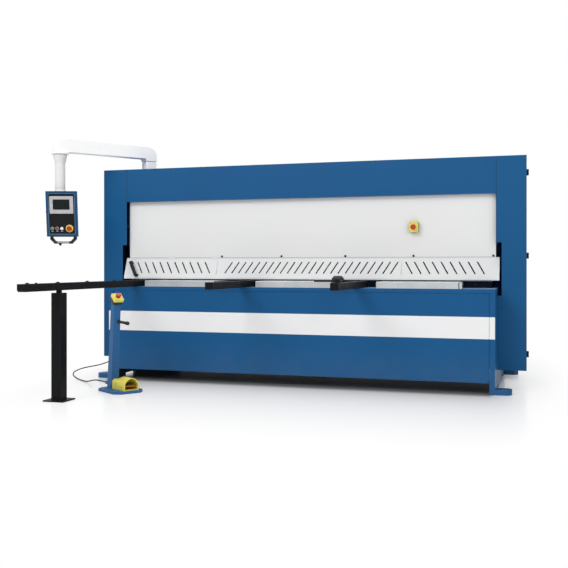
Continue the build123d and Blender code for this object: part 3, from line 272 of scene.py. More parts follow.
SKIN = 0.0003
STRIPE_LOW = 0.413
STRIPE_HIGH = 0.577
FRONT_EDGE = -0.660
FRONT_SHEET = 0.010
SIDE_FACE_X = 1.5994
UNDERSIDE_SHADE_TOP = 0.1
HINGE_X = 1.8176
TABLE_FACE = 0.785
SEAM_SHADOW_LOW = 1.0262
SEAM_SHADOW_HIGH = 1.0292
SLOT_LOW = 0.885
SLOT_HIGH = 0.999
GUARD_FOLD = Vector((0.0, -0.391, 0.857))
GUARD_RUN = 0.157
GUARD_RISE = 0.0567
GUARD_NORMAL = Vector((0.0, -GUARD_RUN, GUARD_RISE)).normalized()
GUARD_DEPTH = 0.004 * GUARD_RUN / math.hypot(GUARD_RUN, GUARD_RISE)


def stripe_region(tree):
    """The white band across the front of the table and its side frames."""
    front = span(tree, position(tree, "Y"), 1.0, 0.0, FRONT_EDGE - 0.0005, FRONT_EDGE + 0.0005)
    return times(tree, front, band(tree, position(tree, "Z"), STRIPE_LOW, STRIPE_HIGH))


def underside_shade_region(tree):
    """Surfaces close to the floor between the side frames' outer faces, painted black as the shade under the
    machine.
    """
    sheet_face = FRONT_EDGE - FRONT_SHEET
    behind = span(tree, position(tree, "Y"), 0.0, 1.0, sheet_face - 0.0005, sheet_face + 0.0005)
    inside = span(tree, away_from_middle(tree, "X"), 1.0, 0.0, SIDE_FACE_X - 0.0002, SIDE_FACE_X + 0.0002)
    return times(tree, inside, times(tree, behind, band(tree, position(tree, "Z"), -1.0, UNDERSIDE_SHADE_TOP)))


def hinge_region(tree):
    """The hinges outside the covers."""
    return span(tree, away_from_middle(tree, "X"), 0.0, 1.0, HINGE_X - 0.0002, HINGE_X + 0.0002)


def lit_top_region(tree):
    """The upper face of the table, made lighter as a painted highlight where the light falls on it."""
    return span(tree, position(tree, "Z"), 0.0, 1.0, TABLE_FACE - 0.0012, TABLE_FACE - 0.0002)


def seam_shadow_region(tree):
    """A painted shadow line on the front panel, along the guard's upper edge."""
    return band(tree, position(tree, "Z"), SEAM_SHADOW_LOW, SEAM_SHADOW_HIGH)


def slot_shade_region(tree):
    """The cut walls of the guard's slots, between the faces of its sheet, painted black as the shade inside the
    slots.
    """
    level = GUARD_FOLD.dot(GUARD_NORMAL)
    inside = band(tree, along(tree, GUARD_NORMAL), level - GUARD_DEPTH + SKIN, level - SKIN, 0.0001)
    return times(tree, inside, band(tree, position(tree, "Z"), SLOT_LOW, SLOT_HIGH))


def beyond_plane(origin, normal):
    """A region on the far side of a plane, as a function for the materials."""
    def region(tree):
        """1 beyond the plane, 0 before it."""
        level = Vector(origin).dot(Vector(normal))
        return span(tree, along(tree, normal), 0.0, 1.0, level - SKIN, level + SKIN)
    return region


# Places on the object
STAND_TURN = math.radians(-34.0)
FORE = Vector((math.cos(STAND_TURN), math.sin(STAND_TURN), 0.0))
ACROSS = Vector((-FORE.y, FORE.x, 0.0))
STAND = Vector((-1.1445, -1.3293, 0.0))
BOX_TILT = math.radians(40)
BOX_NORMAL = FORE * math.sin(BOX_TILT) + Vector((0, 0, math.cos(BOX_TILT)))
ARM_TURN = math.radians(234.9)
ARM_LENGTH = 0.854
STUB = Vector((-1.505, -0.113, 0.0))
FRONT = (0, -1, 0)
UP = (0, 0, 1)
RIGHTWARD = (1, 0, 0)
LEFTWARD = (-1, 0, 0)
REARWARD = (0, 1, 0)
DROP = STUB + Vector((math.cos(ARM_TURN), math.sin(ARM_TURN), 0.0)) * ARM_LENGTH
FACE_TURN = math.radians(17.4)
FACE_RIGHT = Vector((math.cos(FACE_TURN), math.sin(FACE_TURN), 0.0))
FACE_FLAT = Vector((FACE_RIGHT.y, -FACE_RIGHT.x, 0.0))
FACE_LEAN = math.atan2(0.051, 0.381)
FACE_OUT = FACE_FLAT * math.cos(FACE_LEAN) - Vector((0, 0, math.sin(FACE_LEAN)))


def placed(origin, x_dir, z_dir):
    """A local frame with its X and Z directions given."""
    z_axis = Vector(z_dir).normalized()
    x_axis = Vector(x_dir)
    x_axis = (x_axis - z_axis * x_axis.dot(z_axis)).normalized()
    y_axis = z_axis.cross(x_axis)
    made = Matrix((x_axis, y_axis, z_axis)).transposed().to_4x4()
    made.translation = Vector(origin)
    return made


def height(z):
    """A step straight up from the floor."""
    return Vector((0, 0, z))


CONSOLE_SHIFT = 0.028
CONSOLE = placed(DROP + FACE_FLAT * 0.060 + FACE_RIGHT * CONSOLE_SHIFT + height(1.3965), FACE_RIGHT, FACE_OUT)

BASE_TOP = 0.020
COLUMN_TOP = 0.686
STAND_BOX = STAND + FORE * -0.034 + ACROSS * -0.020 + height(COLUMN_TOP)
STAND_BOX_SPLIT = STAND_BOX + BOX_NORMAL * 0.025
STAND_BOX_TOP = STAND_BOX + BOX_NORMAL * 0.048
PANEL_BOX = Vector((0.949, -0.378, 1.269))
PANEL_BOX_SPLIT = (0, -0.352, 0)

# Finishes
STRIPE = (stripe_region, STRIPE_WHITE)
# Painted shade: black on surfaces near the floor under the machine
UNDERSIDE_SHADE = (underside_shade_region, UNDERSIDE_SHADE_BLACK)
blue_beam = paint("blue_beam_paint", BLUE, tone=0.04)
blue_console = paint("blue_console_paint", srgb(12, 68, 106), tone=0.04)
blue_column = paint("blue_column_paint", COLUMN_BLUE, tone=0.04)
blue_door = paint("blue_door_paint", COLUMN_BLUE, tone=0.04, regions=[(hinge_region, BLACK)])
blue_body = paint("blue_body_paint", BLUE, dust=0.12, regions=[UNDERSIDE_SHADE, STRIPE])
# Table top with a painted highlight on its upper face
blue_table = paint("blue_table_paint", BLUE, dust=0.12, regions=[UNDERSIDE_SHADE, STRIPE, (lit_top_region, TABLE_LIT_BLUE)])
blue_plain = paint("blue_plain_paint", BLUE, dust=0.1)
blue_stand = paint("blue_stand_paint", srgb(38, 92, 142), dust=0.06)
# Blade seat painted near-black blue as the shade in the throat
seat_shade_paint = paint("seat_shade_paint", srgb(14, 32, 54), roughness=0.5, tone=0.2, gloss=0.15, wear_and_highlight=0.1)
# A darker copy of the body blue on the inner parts: painted shade
inner_blue_shade = paint("inner_blue_shade_paint", srgb(13, 38, 66), roughness=0.55, tone=0.12)
# Near-black on the hold-downs, the chute and the dark strips: painted shade
inner_dark_shade = paint("inner_dark_shade_paint", srgb(9, 13, 20), roughness=0.6, tone=0.15, wear_and_highlight=0.0)
white_paint = paint("white_panel_paint", WHITE, roughness=0.46, peel=0.15, tone=0.012, wear_and_highlight=0.0)
# Front panel with a painted shadow line along the guard's upper edge
panel_paint = paint("front_panel_paint", WHITE, roughness=0.46, peel=0.15, tone=0.012, wear_and_highlight=0.0,
                    regions=[(seam_shadow_region, SEAM_SHADOW_GREY)])
# Guard with painted shade on its slot walls
guard_paint = paint("white_guard_paint", GUARD_WHITE, roughness=0.46, peel=0.15, tone=0.012, wear_and_highlight=0.12,
                    regions=[(slot_shade_region, SLOT_SHADE_BLACK)])
# The same white painted lighter on the arm and darker on the tube: painted light and shade
arm_lit_paint = paint("white_arm_lit_paint", ARM_LIT_WHITE, roughness=0.42, peel=0.12, tone=0.01, wear_and_highlight=0.0)
tube_shaded_paint = paint("white_tube_shaded_paint", TUBE_SHADED_WHITE, roughness=0.42, peel=0.12, tone=0.01, wear_and_highlight=0.0)
black_paint = paint("black_paint", BLACK, roughness=0.45, peel=0.3, tone=0.12, gloss=0.12, wear_and_highlight=0.15)
ground = metal("ground_steel", STEEL, 0.38, (1, 12, 1))
dark_steel = metal("dark_steel", srgb(52, 54, 57), 0.4, (6, 6, 1))
blade_metal = metal("blade_steel", srgb(150, 154, 158), 0.3, (0.15, 6, 6))
rod_metal = metal("rod_steel", srgb(196, 199, 202), 0.22, (4, 4, 0.3), stain=0.06)
hood_plastic = plastic("hood_plastic", YELLOW, 0.42, wear_and_highlight=0.15)
black_plastic = plastic("black_plastic", BLACK, 0.5, wear_and_highlight=0.1)
red_plastic = plastic("red_plastic", RED, 0.28)
grey_plastic = plastic("grey_plastic", srgb(178, 176, 181), 0.34)
frame_plastic = plastic("frame_plastic", srgb(92, 122, 142), 0.34)
handle_plastic = plastic("handle_plastic", srgb(146, 146, 149), 0.34)
face_plastic = plastic("dull_black_plastic", BLACK, 0.5, wear_and_highlight=0.05, gloss=0.2)
orange_plastic = plastic("orange_plastic", srgb(152, 54, 16), 0.3)
gold_plastic = plastic("gold_plastic", srgb(230, 192, 96), 0.34)
# Pedal in a darker amber copy of the hood's yellow: painted shade and yellow bounce light inside the hood
hood_shade_amber_plastic = plastic("hood_shade_amber_plastic", srgb(156, 98, 18), 0.5)
green_plastic = plastic("green_plastic", srgb(78, 134, 66), 0.3)
crimson_plastic = plastic("crimson_plastic", srgb(128, 42, 74), 0.3)
white_plastic = plastic("white_plastic", srgb(236, 236, 234), 0.3)
screen_glass = plastic("screen_glass", srgb(10, 17, 16), 0.16, 8.0, 0.02, gloss=0.2)
rubber = plastic("black_rubber", srgb(20, 20, 21), 0.6, 700.0, 0.2)
panel_box = plastic("panel_box_plastic", BOX_GREY, 0.45,
                    regions=[(beyond_plane(PANEL_BOX_SPLIT, FRONT), YELLOW)])
stand_box = plastic("stand_box_plastic", BOX_GREY, 0.45,
                    regions=[(beyond_plane(STAND_BOX_SPLIT, BOX_NORMAL), YELLOW)])

NODE_MATERIALS = {
    blue_body: ["side_frame_left", "side_frame_right", "table_apron"],
    blue_table: ["table_top"],
    blue_plain: ["frame_feet", "rear_tie_beam"],
    blue_stand: ["pedestal_stand", "pedestal_gland"],
    seat_shade_paint: ["blade_seat"],
    inner_blue_shade: ["bed_beam", "bed_ribs", "knife_beam", "upper_beam", "cover_brackets", "hydraulic_unit"],
    inner_dark_shade: ["hold_down_beam", "hold_down_cylinders", "sheet_chute"],
    blue_beam: ["front_beam_cover", "top_cover"],
    blue_console: ["console_housing"],
    blue_column: ["column_cover_left", "column_cover_right", "side_back_panels"],
    blue_door: ["side_door_left", "side_door_right"],
    white_paint: ["electrical_cabinet"],
    panel_paint: ["front_panel"],
    arm_lit_paint: ["pendant_arm", "pendant_stub"],
    tube_shaded_paint: ["drop_tube"],
    guard_paint: ["guard_left", "guard_centre", "guard_right"],
    black_paint: ["squaring_arm", "support_arm_centre", "support_arm_right", "support_post"],
    ground: ["table_inserts", "back_gauge_bar", "back_gauge_slides"],
    hood_shade_amber_plastic: ["foot_pedal"],
    dark_steel: ["ball_transfers", "drive_cylinders"],
    blade_metal: ["lower_blade", "upper_blade"],
    panel_box: ["panel_stop_box"],
    stand_box: ["pedestal_stop_box"],
    hood_plastic: ["foot_switch_hood"],
    red_plastic: ["panel_stop_button", "pedestal_stop_button"],
    orange_plastic: ["console_stop_button"],
    face_plastic: ["console_panel", "guard_handle"],
    black_plastic: ["console_handle", "angle_gauge", "cabinet_gland", "pedestal_lever"],
    rubber: ["control_cord"],
}
for material, names in NODE_MATERIALS.items():
    for name in names:
        mesh = nodes[name].data
        mesh.materials.clear()
        mesh.materials.append(material)


# Rounded edges on the constructed pieces
def round_edges(piece, width):
    """A narrow bevel on every edge sharper than the bevel angle."""
    rounding = piece.modifiers.new("rounding", "BEVEL")
    rounding.width = width
    rounding.segments = 2
    rounding.limit_method = "ANGLE"
    rounding.angle_limit = BEVEL_ANGLE
    return rounding


FINE_EDGES = {
    0.0004: ["guard_left", "guard_centre", "guard_right", "side_door_left", "side_door_right", "table_inserts",
             "lower_blade", "upper_blade", "foot_pedal", "angle_gauge", "sheet_chute"],
    0.0008: ["column_cover_left", "column_cover_right", "front_beam_cover", "top_cover", "panel_stop_box",
             "pedestal_stop_box", "foot_switch_hood", "console_housing", "pedestal_gland", "back_gauge_bar"],
    0.0016: ["side_frame_left", "side_frame_right", "table_top", "table_apron", "squaring_arm", "support_arm_centre",
             "support_arm_right", "support_post", "pedestal_stand", "frame_feet", "guard_handle", "console_handle",
             "hydraulic_unit", "back_gauge_slides", "electrical_cabinet", "rear_tie_beam"],
    0.0030: ["pendant_arm", "pendant_stub"],
}
for width, names in FINE_EDGES.items():
    for name in names:
        weld = nodes[name].modifiers.new("weld", "WELD")
        weld.merge_threshold = WELD_DISTANCE
        round_edges(nodes[name], width).harden_normals = True


# Small parts that the construction leaves out
def finish_piece(name, build, material, body, bevel=0.0, smooth=False):
    """Puts a built mesh in the scene with its finish, its bevel and the body that it rides."""
    mesh = bpy.data.meshes.new(name)
    bmesh.ops.recalc_face_normals(build, faces=build.faces)
    build.to_mesh(mesh)
    build.free()
    made = bpy.data.objects.new(name, mesh)
    mesh.materials.append(material)
    scene.collection.objects.link(made)
    if smooth:
        mesh.shade_smooth()
        mesh.set_sharp_from_angle(angle=SMOOTH_ANGLE)
    if bevel:
        round_edges(made, bevel)
    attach(made, body)


def lathe(name, profile, places, material, body, steps=28, smooth=True):
    """Turned pieces: a profile of (radius, height) points around the local Z of each place."""
    build = bmesh.new()
    for place in places:
        rings = []
        for radius, height in profile:
            if radius == 0:
                rings.append([build.verts.new(place @ Vector((0, 0, height)))])
                continue
            rings.append([build.verts.new(place @ Vector((radius * math.cos(2 * math.pi * i / steps),
                                                          radius * math.sin(2 * math.pi * i / steps), height)))
                          for i in range(steps)])
        for lower, upper in zip(rings, rings[1:]):
            for i in range(steps):
                k = (i + 1) % steps
                if len(lower) == 1 and len(upper) > 1:
                    build.faces.new((lower[0], upper[k], upper[i]))
                elif len(upper) == 1 and len(lower) > 1:
                    build.faces.new((lower[i], lower[k], upper[0]))
                elif len(lower) > 1 and len(upper) > 1:
                    build.faces.new((lower[i], lower[k], upper[k], upper[i]))
    finish_piece(name, build, material, body, smooth=smooth)


def slab(name, outline, low, high, places, material, body, bevel=0.0008):
    """Flat pieces: an outline in the local XY of each place, from low to high along its Z."""
    build = bmesh.new()
    for place in places:
        bottom = [build.verts.new(place @ Vector((x, y, low))) for x, y in outline]
        top = [build.verts.new(place @ Vector((x, y, high))) for x, y in outline]
        build.faces.new(bottom[::-1])
        build.faces.new(top)
        for i in range(len(outline)):
            k = (i + 1) % len(outline)
            build.faces.new((bottom[i], bottom[k], top[k], top[i]))
    finish_piece(name, build, material, body, bevel)


def rounded(width, height, radius, centre=(0.0, 0.0), steps=5):
    """The outline of a rectangle with round corners."""
    points = []
    for corner_x, corner_y, start in ((1, 1, 0), (-1, 1, 90), (-1, -1, 180), (1, -1, 270)):
        for i in range(steps + 1):
            angle = math.radians(start + 90 * i / steps)
            points.append((centre[0] + corner_x * (width / 2 - radius) + radius * math.cos(angle),
                           centre[1] + corner_y * (height / 2 - radius) + radius * math.sin(angle)))
    return points


def ring_frame(name, outer, inner, low, high, place, material, body):
    """A flat frame between two outlines that have the same number of points."""
    build = bmesh.new()
    rows = [[build.verts.new(place @ Vector((x, y, z))) for x, y in outline]
            for outline, z in ((outer, low), (outer, high), (inner, high), (inner, low))]
    for first, second in zip(rows, rows[1:] + rows[:1]):
        for i in range(len(outer)):
            k = (i + 1) % len(outer)
            build.faces.new((first[i], first[k], second[k], second[i]))
    finish_piece(name, build, material, body)


def hose(name, points, radius, material, body, roundness=3, steps=8):
    """A hose or cord of one thickness, bent along the points."""
    curve = bpy.data.curves.new(name, "CURVE")
    curve.dimensions = "3D"
    curve.bevel_depth = radius
    curve.bevel_resolution = roundness
    curve.resolution_u = steps
    line = curve.splines.new("NURBS")
    line.points.add(len(points) - 1)
    for point, place in zip(line.points, points):
        point.co = (*place, 1.0)
    line.order_u = 3
    line.use_endpoint_u = True
    curve.materials.append(material)
    made = bpy.data.objects.new(name, curve)
    scene.collection.objects.link(made)
    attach(made, body)
    return made


def facing(origin, normal):
    """A local frame that faces along a normal, with its X to the right of the machine."""
    return placed(origin, RIGHTWARD, normal)


def on_console(x, y, z=0.0):
    """A place on the console's face."""
    return CONSOLE @ Matrix.Translation((x, y, z))


CAP_SCREW = [(0.0, 0.0021), (0.0042, 0.0021), (0.0042, 0.0062), (0.0076, 0.0064), (0.0086, 0.0054), (0.0086, 0.0)]
BUTTON_HEAD = [(0.0, 0.0013), (0.0026, 0.0013), (0.0026, 0.0031), (0.0050, 0.0026), (0.0068, 0.0014), (0.0072, 0.0)]

# Front panel: screws along the lower edge
PANEL_FACE = -0.3302
PANEL_ROW = 1.0385
lathe("panel_screws", CAP_SCREW,
      [facing((x, PANEL_FACE, PANEL_ROW), FRONT) for x in (-0.706, -0.169, 0.382, 0.943, 1.567)],
      dark_steel, "frame")

# Beam and column covers: dark strips as painted shadow in the joints, and button-head screws
COVER_FACE = -0.3820
slab("cover_joint_shadows", [(-0.0011, -0.144), (0.0011, -0.144), (0.0011, 0.1425), (-0.0011, 0.1425)], 0.0, 0.0004,
     [facing((side * 1.592, COVER_FACE - 0.0002, 1.667), FRONT) for side in (-1, 1)], inner_dark_shade, "frame",
     0.0)
lathe("cover_screws", BUTTON_HEAD, [facing((side * 1.560, COVER_FACE, 1.559), FRONT) for side in (-1, 1)],
      blue_beam, "frame")
lathe("column_screws", BUTTON_HEAD,
      [facing((side * 1.640, COVER_FACE, z), FRONT) for side in (-1, 1) for z in (0.300, 0.640, 1.310, 1.760)],
      blue_column, "frame")

# Guard flap: two hinges on the flap's upper edge, each with a leaf on the flap and one on the panel
HINGE_HALF = 0.030
HINGE_PIN = [(0.0, -HINGE_HALF), (0.0020, -HINGE_HALF), (0.0022, -HINGE_HALF + 0.0005),
             (0.0022, HINGE_HALF - 0.0005), (0.0020, HINGE_HALF), (0.0, HINGE_HALF)]
for i, x in enumerate((-1.177, -0.767)):
    slab(f"flap_hinge_leaf_{i + 1}", rounded(2 * HINGE_HALF, 0.022, 0.003), 0.0, 0.0016,
         [facing((x, -0.33455, 1.0085), FRONT)], guard_paint, "guard_flap", 0.0004)
    slab(f"panel_hinge_leaf_{i + 1}", rounded(2 * HINGE_HALF, 0.018, 0.003), 0.0, 0.0016,
         [facing((x, PANEL_FACE, PANEL_ROW), FRONT)], guard_paint, "frame", 0.0004)
    lathe(f"flap_hinge_pin_{i + 1}", HINGE_PIN, [placed((x, -0.3325, 1.0270), REARWARD, RIGHTWARD)], guard_paint,
          "frame", 16)

# Guard: filling strips in the joints beside the middle section, with a running gap at the flap
GUARD_LINE = [(-0.3906, 0.8452), (-0.3906, 0.8572), (-0.3340, 1.0142), (-0.3340, 1.0258), (-0.3306, 1.0258),
              (-0.3306, 1.0142), (-0.3870, 0.8572), (-0.3870, 0.8452)]
for name, x, half in (("guard_joint_strip", 0.8501, 0.0019), ("flap_joint_strip", -0.7408, 0.0016)):
    slab(name, GUARD_LINE, -half, half, [placed((x, 0, 0), REARWARD, RIGHTWARD)], guard_paint, "frame",
         0.0)

# Back gauge: a dark plate in front of the bar, notched for the slides, standing in for the shade seen through the
# throat
PLATE_HALF = 1.553
PLATE_LOW, PLATE_NOTCH, PLATE_HIGH = 0.772, 0.8985, 0.952
SLIDE_INNER, SLIDE_OUTER = 0.911, 1.009
GAUGE_PLATE = [(-PLATE_HALF, PLATE_LOW), (PLATE_HALF, PLATE_LOW), (PLATE_HALF, PLATE_HIGH),
               (SLIDE_OUTER, PLATE_HIGH), (SLIDE_OUTER, PLATE_NOTCH), (SLIDE_INNER, PLATE_NOTCH),
               (SLIDE_INNER, PLATE_HIGH), (-SLIDE_INNER, PLATE_HIGH), (-SLIDE_INNER, PLATE_NOTCH),
               (-SLIDE_OUTER, PLATE_NOTCH), (-SLIDE_OUTER, PLATE_HIGH), (-PLATE_HALF, PLATE_HIGH)]
slab("gauge_shade_plate", GAUGE_PLATE, 0.0, 0.0040, [facing((0, 0.3048, 0), FRONT)], inner_dark_shade, "frame",
     0.0)

# Table: socket screws in the inserts, end block of the right insert, bolts on the bed
INSERT_CENTRES = (-0.949, 0.036, 1.021)
INSERT_TOP = 0.8350
BLOCK_FOOT = TABLE_FACE + 0.0002
BLOCK_BACK = -0.6350
SUNK_SCREW = [(0.0, -0.0010), (0.0040, -0.0010), (0.0040, 0.0006), (0.0078, 0.0006), (0.0084, 0.0)]
lathe("insert_screws", SUNK_SCREW,
      [facing((centre + x, y, INSERT_TOP), UP) for centre in INSERT_CENTRES for x in (-0.24, 0.0, 0.24)
       for y in (-0.62, -0.36)], dark_steel, "frame", 20)
slab("insert_end_block", [(1.3400, -0.6850), (1.3600, -0.6850), (1.3600, BLOCK_BACK), (1.3400, BLOCK_BACK)],
     BLOCK_FOOT, INSERT_TOP - 0.0010, [Matrix()], ground, "frame")
slab("insert_end_joint", [(1.3342, -0.6835), (1.3399, -0.6835), (1.3399, BLOCK_BACK), (1.3342, BLOCK_BACK)],
     BLOCK_FOOT, INSERT_TOP - 0.0020, [Matrix()], rubber, "frame", 0.0)
lathe("bed_bolts", CAP_SCREW, [facing((x, -0.2752, 0.812), FRONT) for x in (-1.46, -0.60, 0.385, 1.427)],
      dark_steel, "frame")

# Arms: rings around the ball transfers and a screw at the root of each arm
ARM_TOP = 0.8380
SQUARING_X = -1.351
ARM_ROOT = -0.640
BALL_RING = [(0.0152, -0.0006), (0.0152, 0.0012), (0.0140, 0.0018), (0.0128, 0.0018), (0.0124, 0.0010)]
lathe("ball_rings", BALL_RING, [facing((SQUARING_X, y, ARM_TOP), UP) for y in (-2.240, -1.869, -1.466, -1.053)],
      dark_steel, "frame")
lathe("arm_screws", CAP_SCREW, [facing((x, y, ARM_TOP), UP) for x, y in
                                ((SQUARING_X, -2.136), (SQUARING_X, ARM_ROOT), (-0.385, ARM_ROOT),
                                 (0.556, ARM_ROOT))], dark_steel, "frame")

# Emergency stops: collars under the mushroom heads and screws at the corners of the boxes
COLLAR = [(0.0128, 0.0), (0.0150, 0.0010), (0.0150, 0.0040), (0.0138, 0.0052), (0.0108, 0.0052), (0.0104, 0.0040)]
BUTTON_ROW = -0.124
CONSOLE_STOP = on_console(0.062, BUTTON_ROW, -0.005)
for name, place, body in (("panel_stop_collar", facing(PANEL_BOX, FRONT), "frame"),
                          ("stand_stop_collar", placed(STAND_BOX_TOP, ACROSS, BOX_NORMAL), "frame"),
                          ("console_stop_collar", CONSOLE_STOP, "console")):
    lathe(name, COLLAR, [place], black_plastic, body)
BOX_SCREW = [(0.0, 0.0004), (0.0016, 0.0004), (0.0016, 0.0012), (0.0026, 0.0010), (0.0030, 0.0)]
lathe("panel_box_screws", BOX_SCREW,
      [facing(PANEL_BOX + Vector((x, 0, z)), FRONT) for x in (-0.028, 0.028) for z in (-0.033, 0.033)],
      dark_steel, "frame", 14)
lathe("stand_box_screws", BOX_SCREW,
      [placed(STAND_BOX_TOP + ACROSS * x + BOX_NORMAL.cross(ACROSS) * y, ACROSS, BOX_NORMAL)
       for x in (-0.030, 0.030) for y in (-0.030, 0.030)], dark_steel, "frame", 14)

# Console: inner frame, bezel, screen, buttons, labels, key switch, lock and the grey handle bar
SCREEN_CENTRE = (-0.001, 0.079)
PANEL_PLANE = -0.0100
ring_frame("console_inner_frame", rounded(0.2258, 0.3480, 0.001), rounded(0.2170, 0.3392, 0.0005), -0.0099, -0.0030,
           CONSOLE, frame_plastic, "console")
ring_frame("console_bezel", rounded(0.2000, 0.1470, 0.006, (0.0, 0.076)),
           rounded(0.1420, 0.0870, 0.002, SCREEN_CENTRE), -0.0030, 0.0008, CONSOLE, grey_plastic, "console")
slab("console_screen", rounded(0.1430, 0.0880, 0.002, SCREEN_CENTRE), -0.0022, -0.0012, [CONSOLE], screen_glass,
     "console", 0.0)
CAP = [(0.0, 0.0046), (0.0102, 0.0044), (0.0116, 0.0034), (0.0120, 0.0), (0.0120, -0.0004)]
CAP_RING = [(0.0120, 0.0), (0.0126, 0.0022), (0.0138, 0.0026), (0.0146, 0.0014), (0.0148, -0.0070)]
BUTTONS = ((-0.084, "start", green_plastic), (-0.043, "stop", crimson_plastic), (-0.002, "reset", white_plastic))
for x, label, material in BUTTONS:
    place = on_console(x, BUTTON_ROW, -0.001)
    lathe(f"console_{label}_cap", CAP, [place], material, "console")
    lathe(f"console_{label}_ring", CAP_RING, [place], grey_plastic, "console")
slab("console_labels", rounded(0.018, 0.005, 0.001), 0.0, 0.0006,
     [on_console(x, -0.148, PANEL_PLANE) for x, _, _ in BUTTONS], grey_plastic, "console", 0.0)
lathe("console_stop_ring", [(0.0150, 0.0), (0.0150, 0.0024), (0.0300, 0.0022), (0.0318, 0.0008), (0.0320, -0.0048)],
      [CONSOLE_STOP], gold_plastic, "console", 48)
lathe("console_key_switch", [(0.0, 0.0022), (0.0030, 0.0022), (0.0032, 0.0034), (0.0062, 0.0034), (0.0070, 0.0)],
      [on_console(0.020, -0.088, PANEL_PLANE)], dark_steel, "console", 20)
lathe("console_lock", [(0.0, 0.0018), (0.0022, 0.0018), (0.0024, 0.0040), (0.0078, 0.0040), (0.0088, 0.0)],
      [placed(CONSOLE @ Vector((-0.131, 0.017, -0.016)), FACE_OUT, -FACE_RIGHT)], dark_steel, "console")
HANDLE_MID = DROP + FACE_RIGHT * CONSOLE_SHIFT - FACE_FLAT * 0.008 + height(1.157)
slab("console_handle_sleeve", rounded(0.0262, 0.0178, 0.006), -0.052, 0.052,
     [placed(HANDLE_MID, FACE_FLAT, FACE_RIGHT)], handle_plastic, "console", 0.0008)
KNOB = [(0.0, -0.0190), (0.0055, -0.0178), (0.0148, -0.0040), (0.0148, 0.0020), (0.0070, 0.0070)]
lathe("console_handle_knob", KNOB,
      [Matrix.Translation(HANDLE_MID - FACE_RIGHT * 0.027 + FACE_FLAT * 0.006 - height(0.010))], dark_steel,
      "console", 6, False)

# Pendant: clamp ring at the drop tube's foot
lathe("drop_tube_ring", [(0.0432, 0.0), (0.0480, 0.0010), (0.0480, 0.0110), (0.0450, 0.0140), (0.0432, 0.0140)],
      [Matrix.Translation(DROP + height(1.5872))], arm_lit_paint, "console", 40)

# Pedestal: collar and grip of the lever, on the leaning and tapering column's front face
LEVER_HEIGHT = 0.532
COLUMN_BACK = -0.084
COLUMN_LEAN = 0.050
COLUMN_DEPTH = 0.066
COLUMN_TAPER = 0.012
column_share = (LEVER_HEIGHT - BASE_TOP) / (COLUMN_TOP - BASE_TOP)
column_front = COLUMN_BACK + COLUMN_LEAN * column_share + (COLUMN_DEPTH - COLUMN_TAPER * column_share) / 2
LEVER_ROOT = STAND + FORE * column_front + ACROSS * -0.008 + height(LEVER_HEIGHT)
lathe("lever_collar", [(0.0150, -0.004), (0.0150, 0.0050), (0.0128, 0.0070), (0.0, 0.0070)],
      [placed(LEVER_ROOT, UP, FORE)], black_plastic, "frame", 30)
LEVER_TURN = STAND_TURN + math.radians(50.0)
LEVER_FALL = math.radians(-11.0)
LEVER_RUN = Vector((math.cos(LEVER_TURN) * math.cos(LEVER_FALL), math.sin(LEVER_TURN) * math.cos(LEVER_FALL),
                    math.sin(LEVER_FALL)))
GRIP = [(0.0072, 0.012), (0.0098, 0.013), (0.0108, 0.020), (0.0108, 0.052), (0.0100, 0.0575), (0.0072, 0.0578)]
lathe("lever_grip", GRIP, [placed(LEVER_ROOT, UP, LEVER_RUN)], rubber, "frame", 24)

# Foot switch: ribs across the pedal and a screw on each side of the hood
SWITCH_SHIFT = 0.014
PEDAL = placed(STAND + FORE * 0.150 + ACROSS * SWITCH_SHIFT + height(BASE_TOP), ACROSS, FORE)
slab("pedal_ribs", rounded(0.080, 0.0024, 0.001), -0.0016, 0.0016,
     [PEDAL @ Matrix.Translation((0.0, y, z)) for y, z in ((0.0402, -0.028), (0.0396, -0.040), (0.0391, -0.052))],
     black_plastic, "pedal", 0.0003)
lathe("hood_screws", BOX_SCREW,
      [placed(STAND + FORE * ahead + ACROSS * (SWITCH_SHIFT + side * 0.061) + height(0.046), UP, ACROSS * side)
       for ahead in (0.10, 0.0) for side in (-1, 1)], dark_steel, "frame", 14)

# Side doors: a quarter-turn latch near each free edge
LATCH = [(0.0, 0.0030), (0.0035, 0.0030), (0.0040, 0.0060), (0.0150, 0.0060), (0.0170, 0.0045), (0.0175, 0.0)]
for side, name, y in ((-1, "door_left", -0.290), (1, "door_right", 0.420)):
    lathe(f"{name}_latches", LATCH, [placed((side * 1.792, y, z), UP, (side, 0, 0)) for z in (0.50, 1.45)],
          black_plastic, name)

# Electrical cabinet behind the left door: cover and its two locks
CABINET_FACE = -1.7621
COVER_SHEET = 0.0060
slab("cabinet_cover", rounded(0.330, 0.910, 0.010), 0.0, COVER_SHEET,
     [placed((CABINET_FACE, 0.245, 0.775), REARWARD, LEFTWARD)], white_paint, "frame", 0.001)
lathe("cabinet_locks", [(0.0, 0.0020), (0.0040, 0.0020), (0.0042, 0.0040), (0.0100, 0.0040), (0.0110, 0.0)],
      [placed((CABINET_FACE - COVER_SHEET, 0.105, z), UP, LEFTWARD) for z in (0.42, 1.13)], dark_steel, "frame")

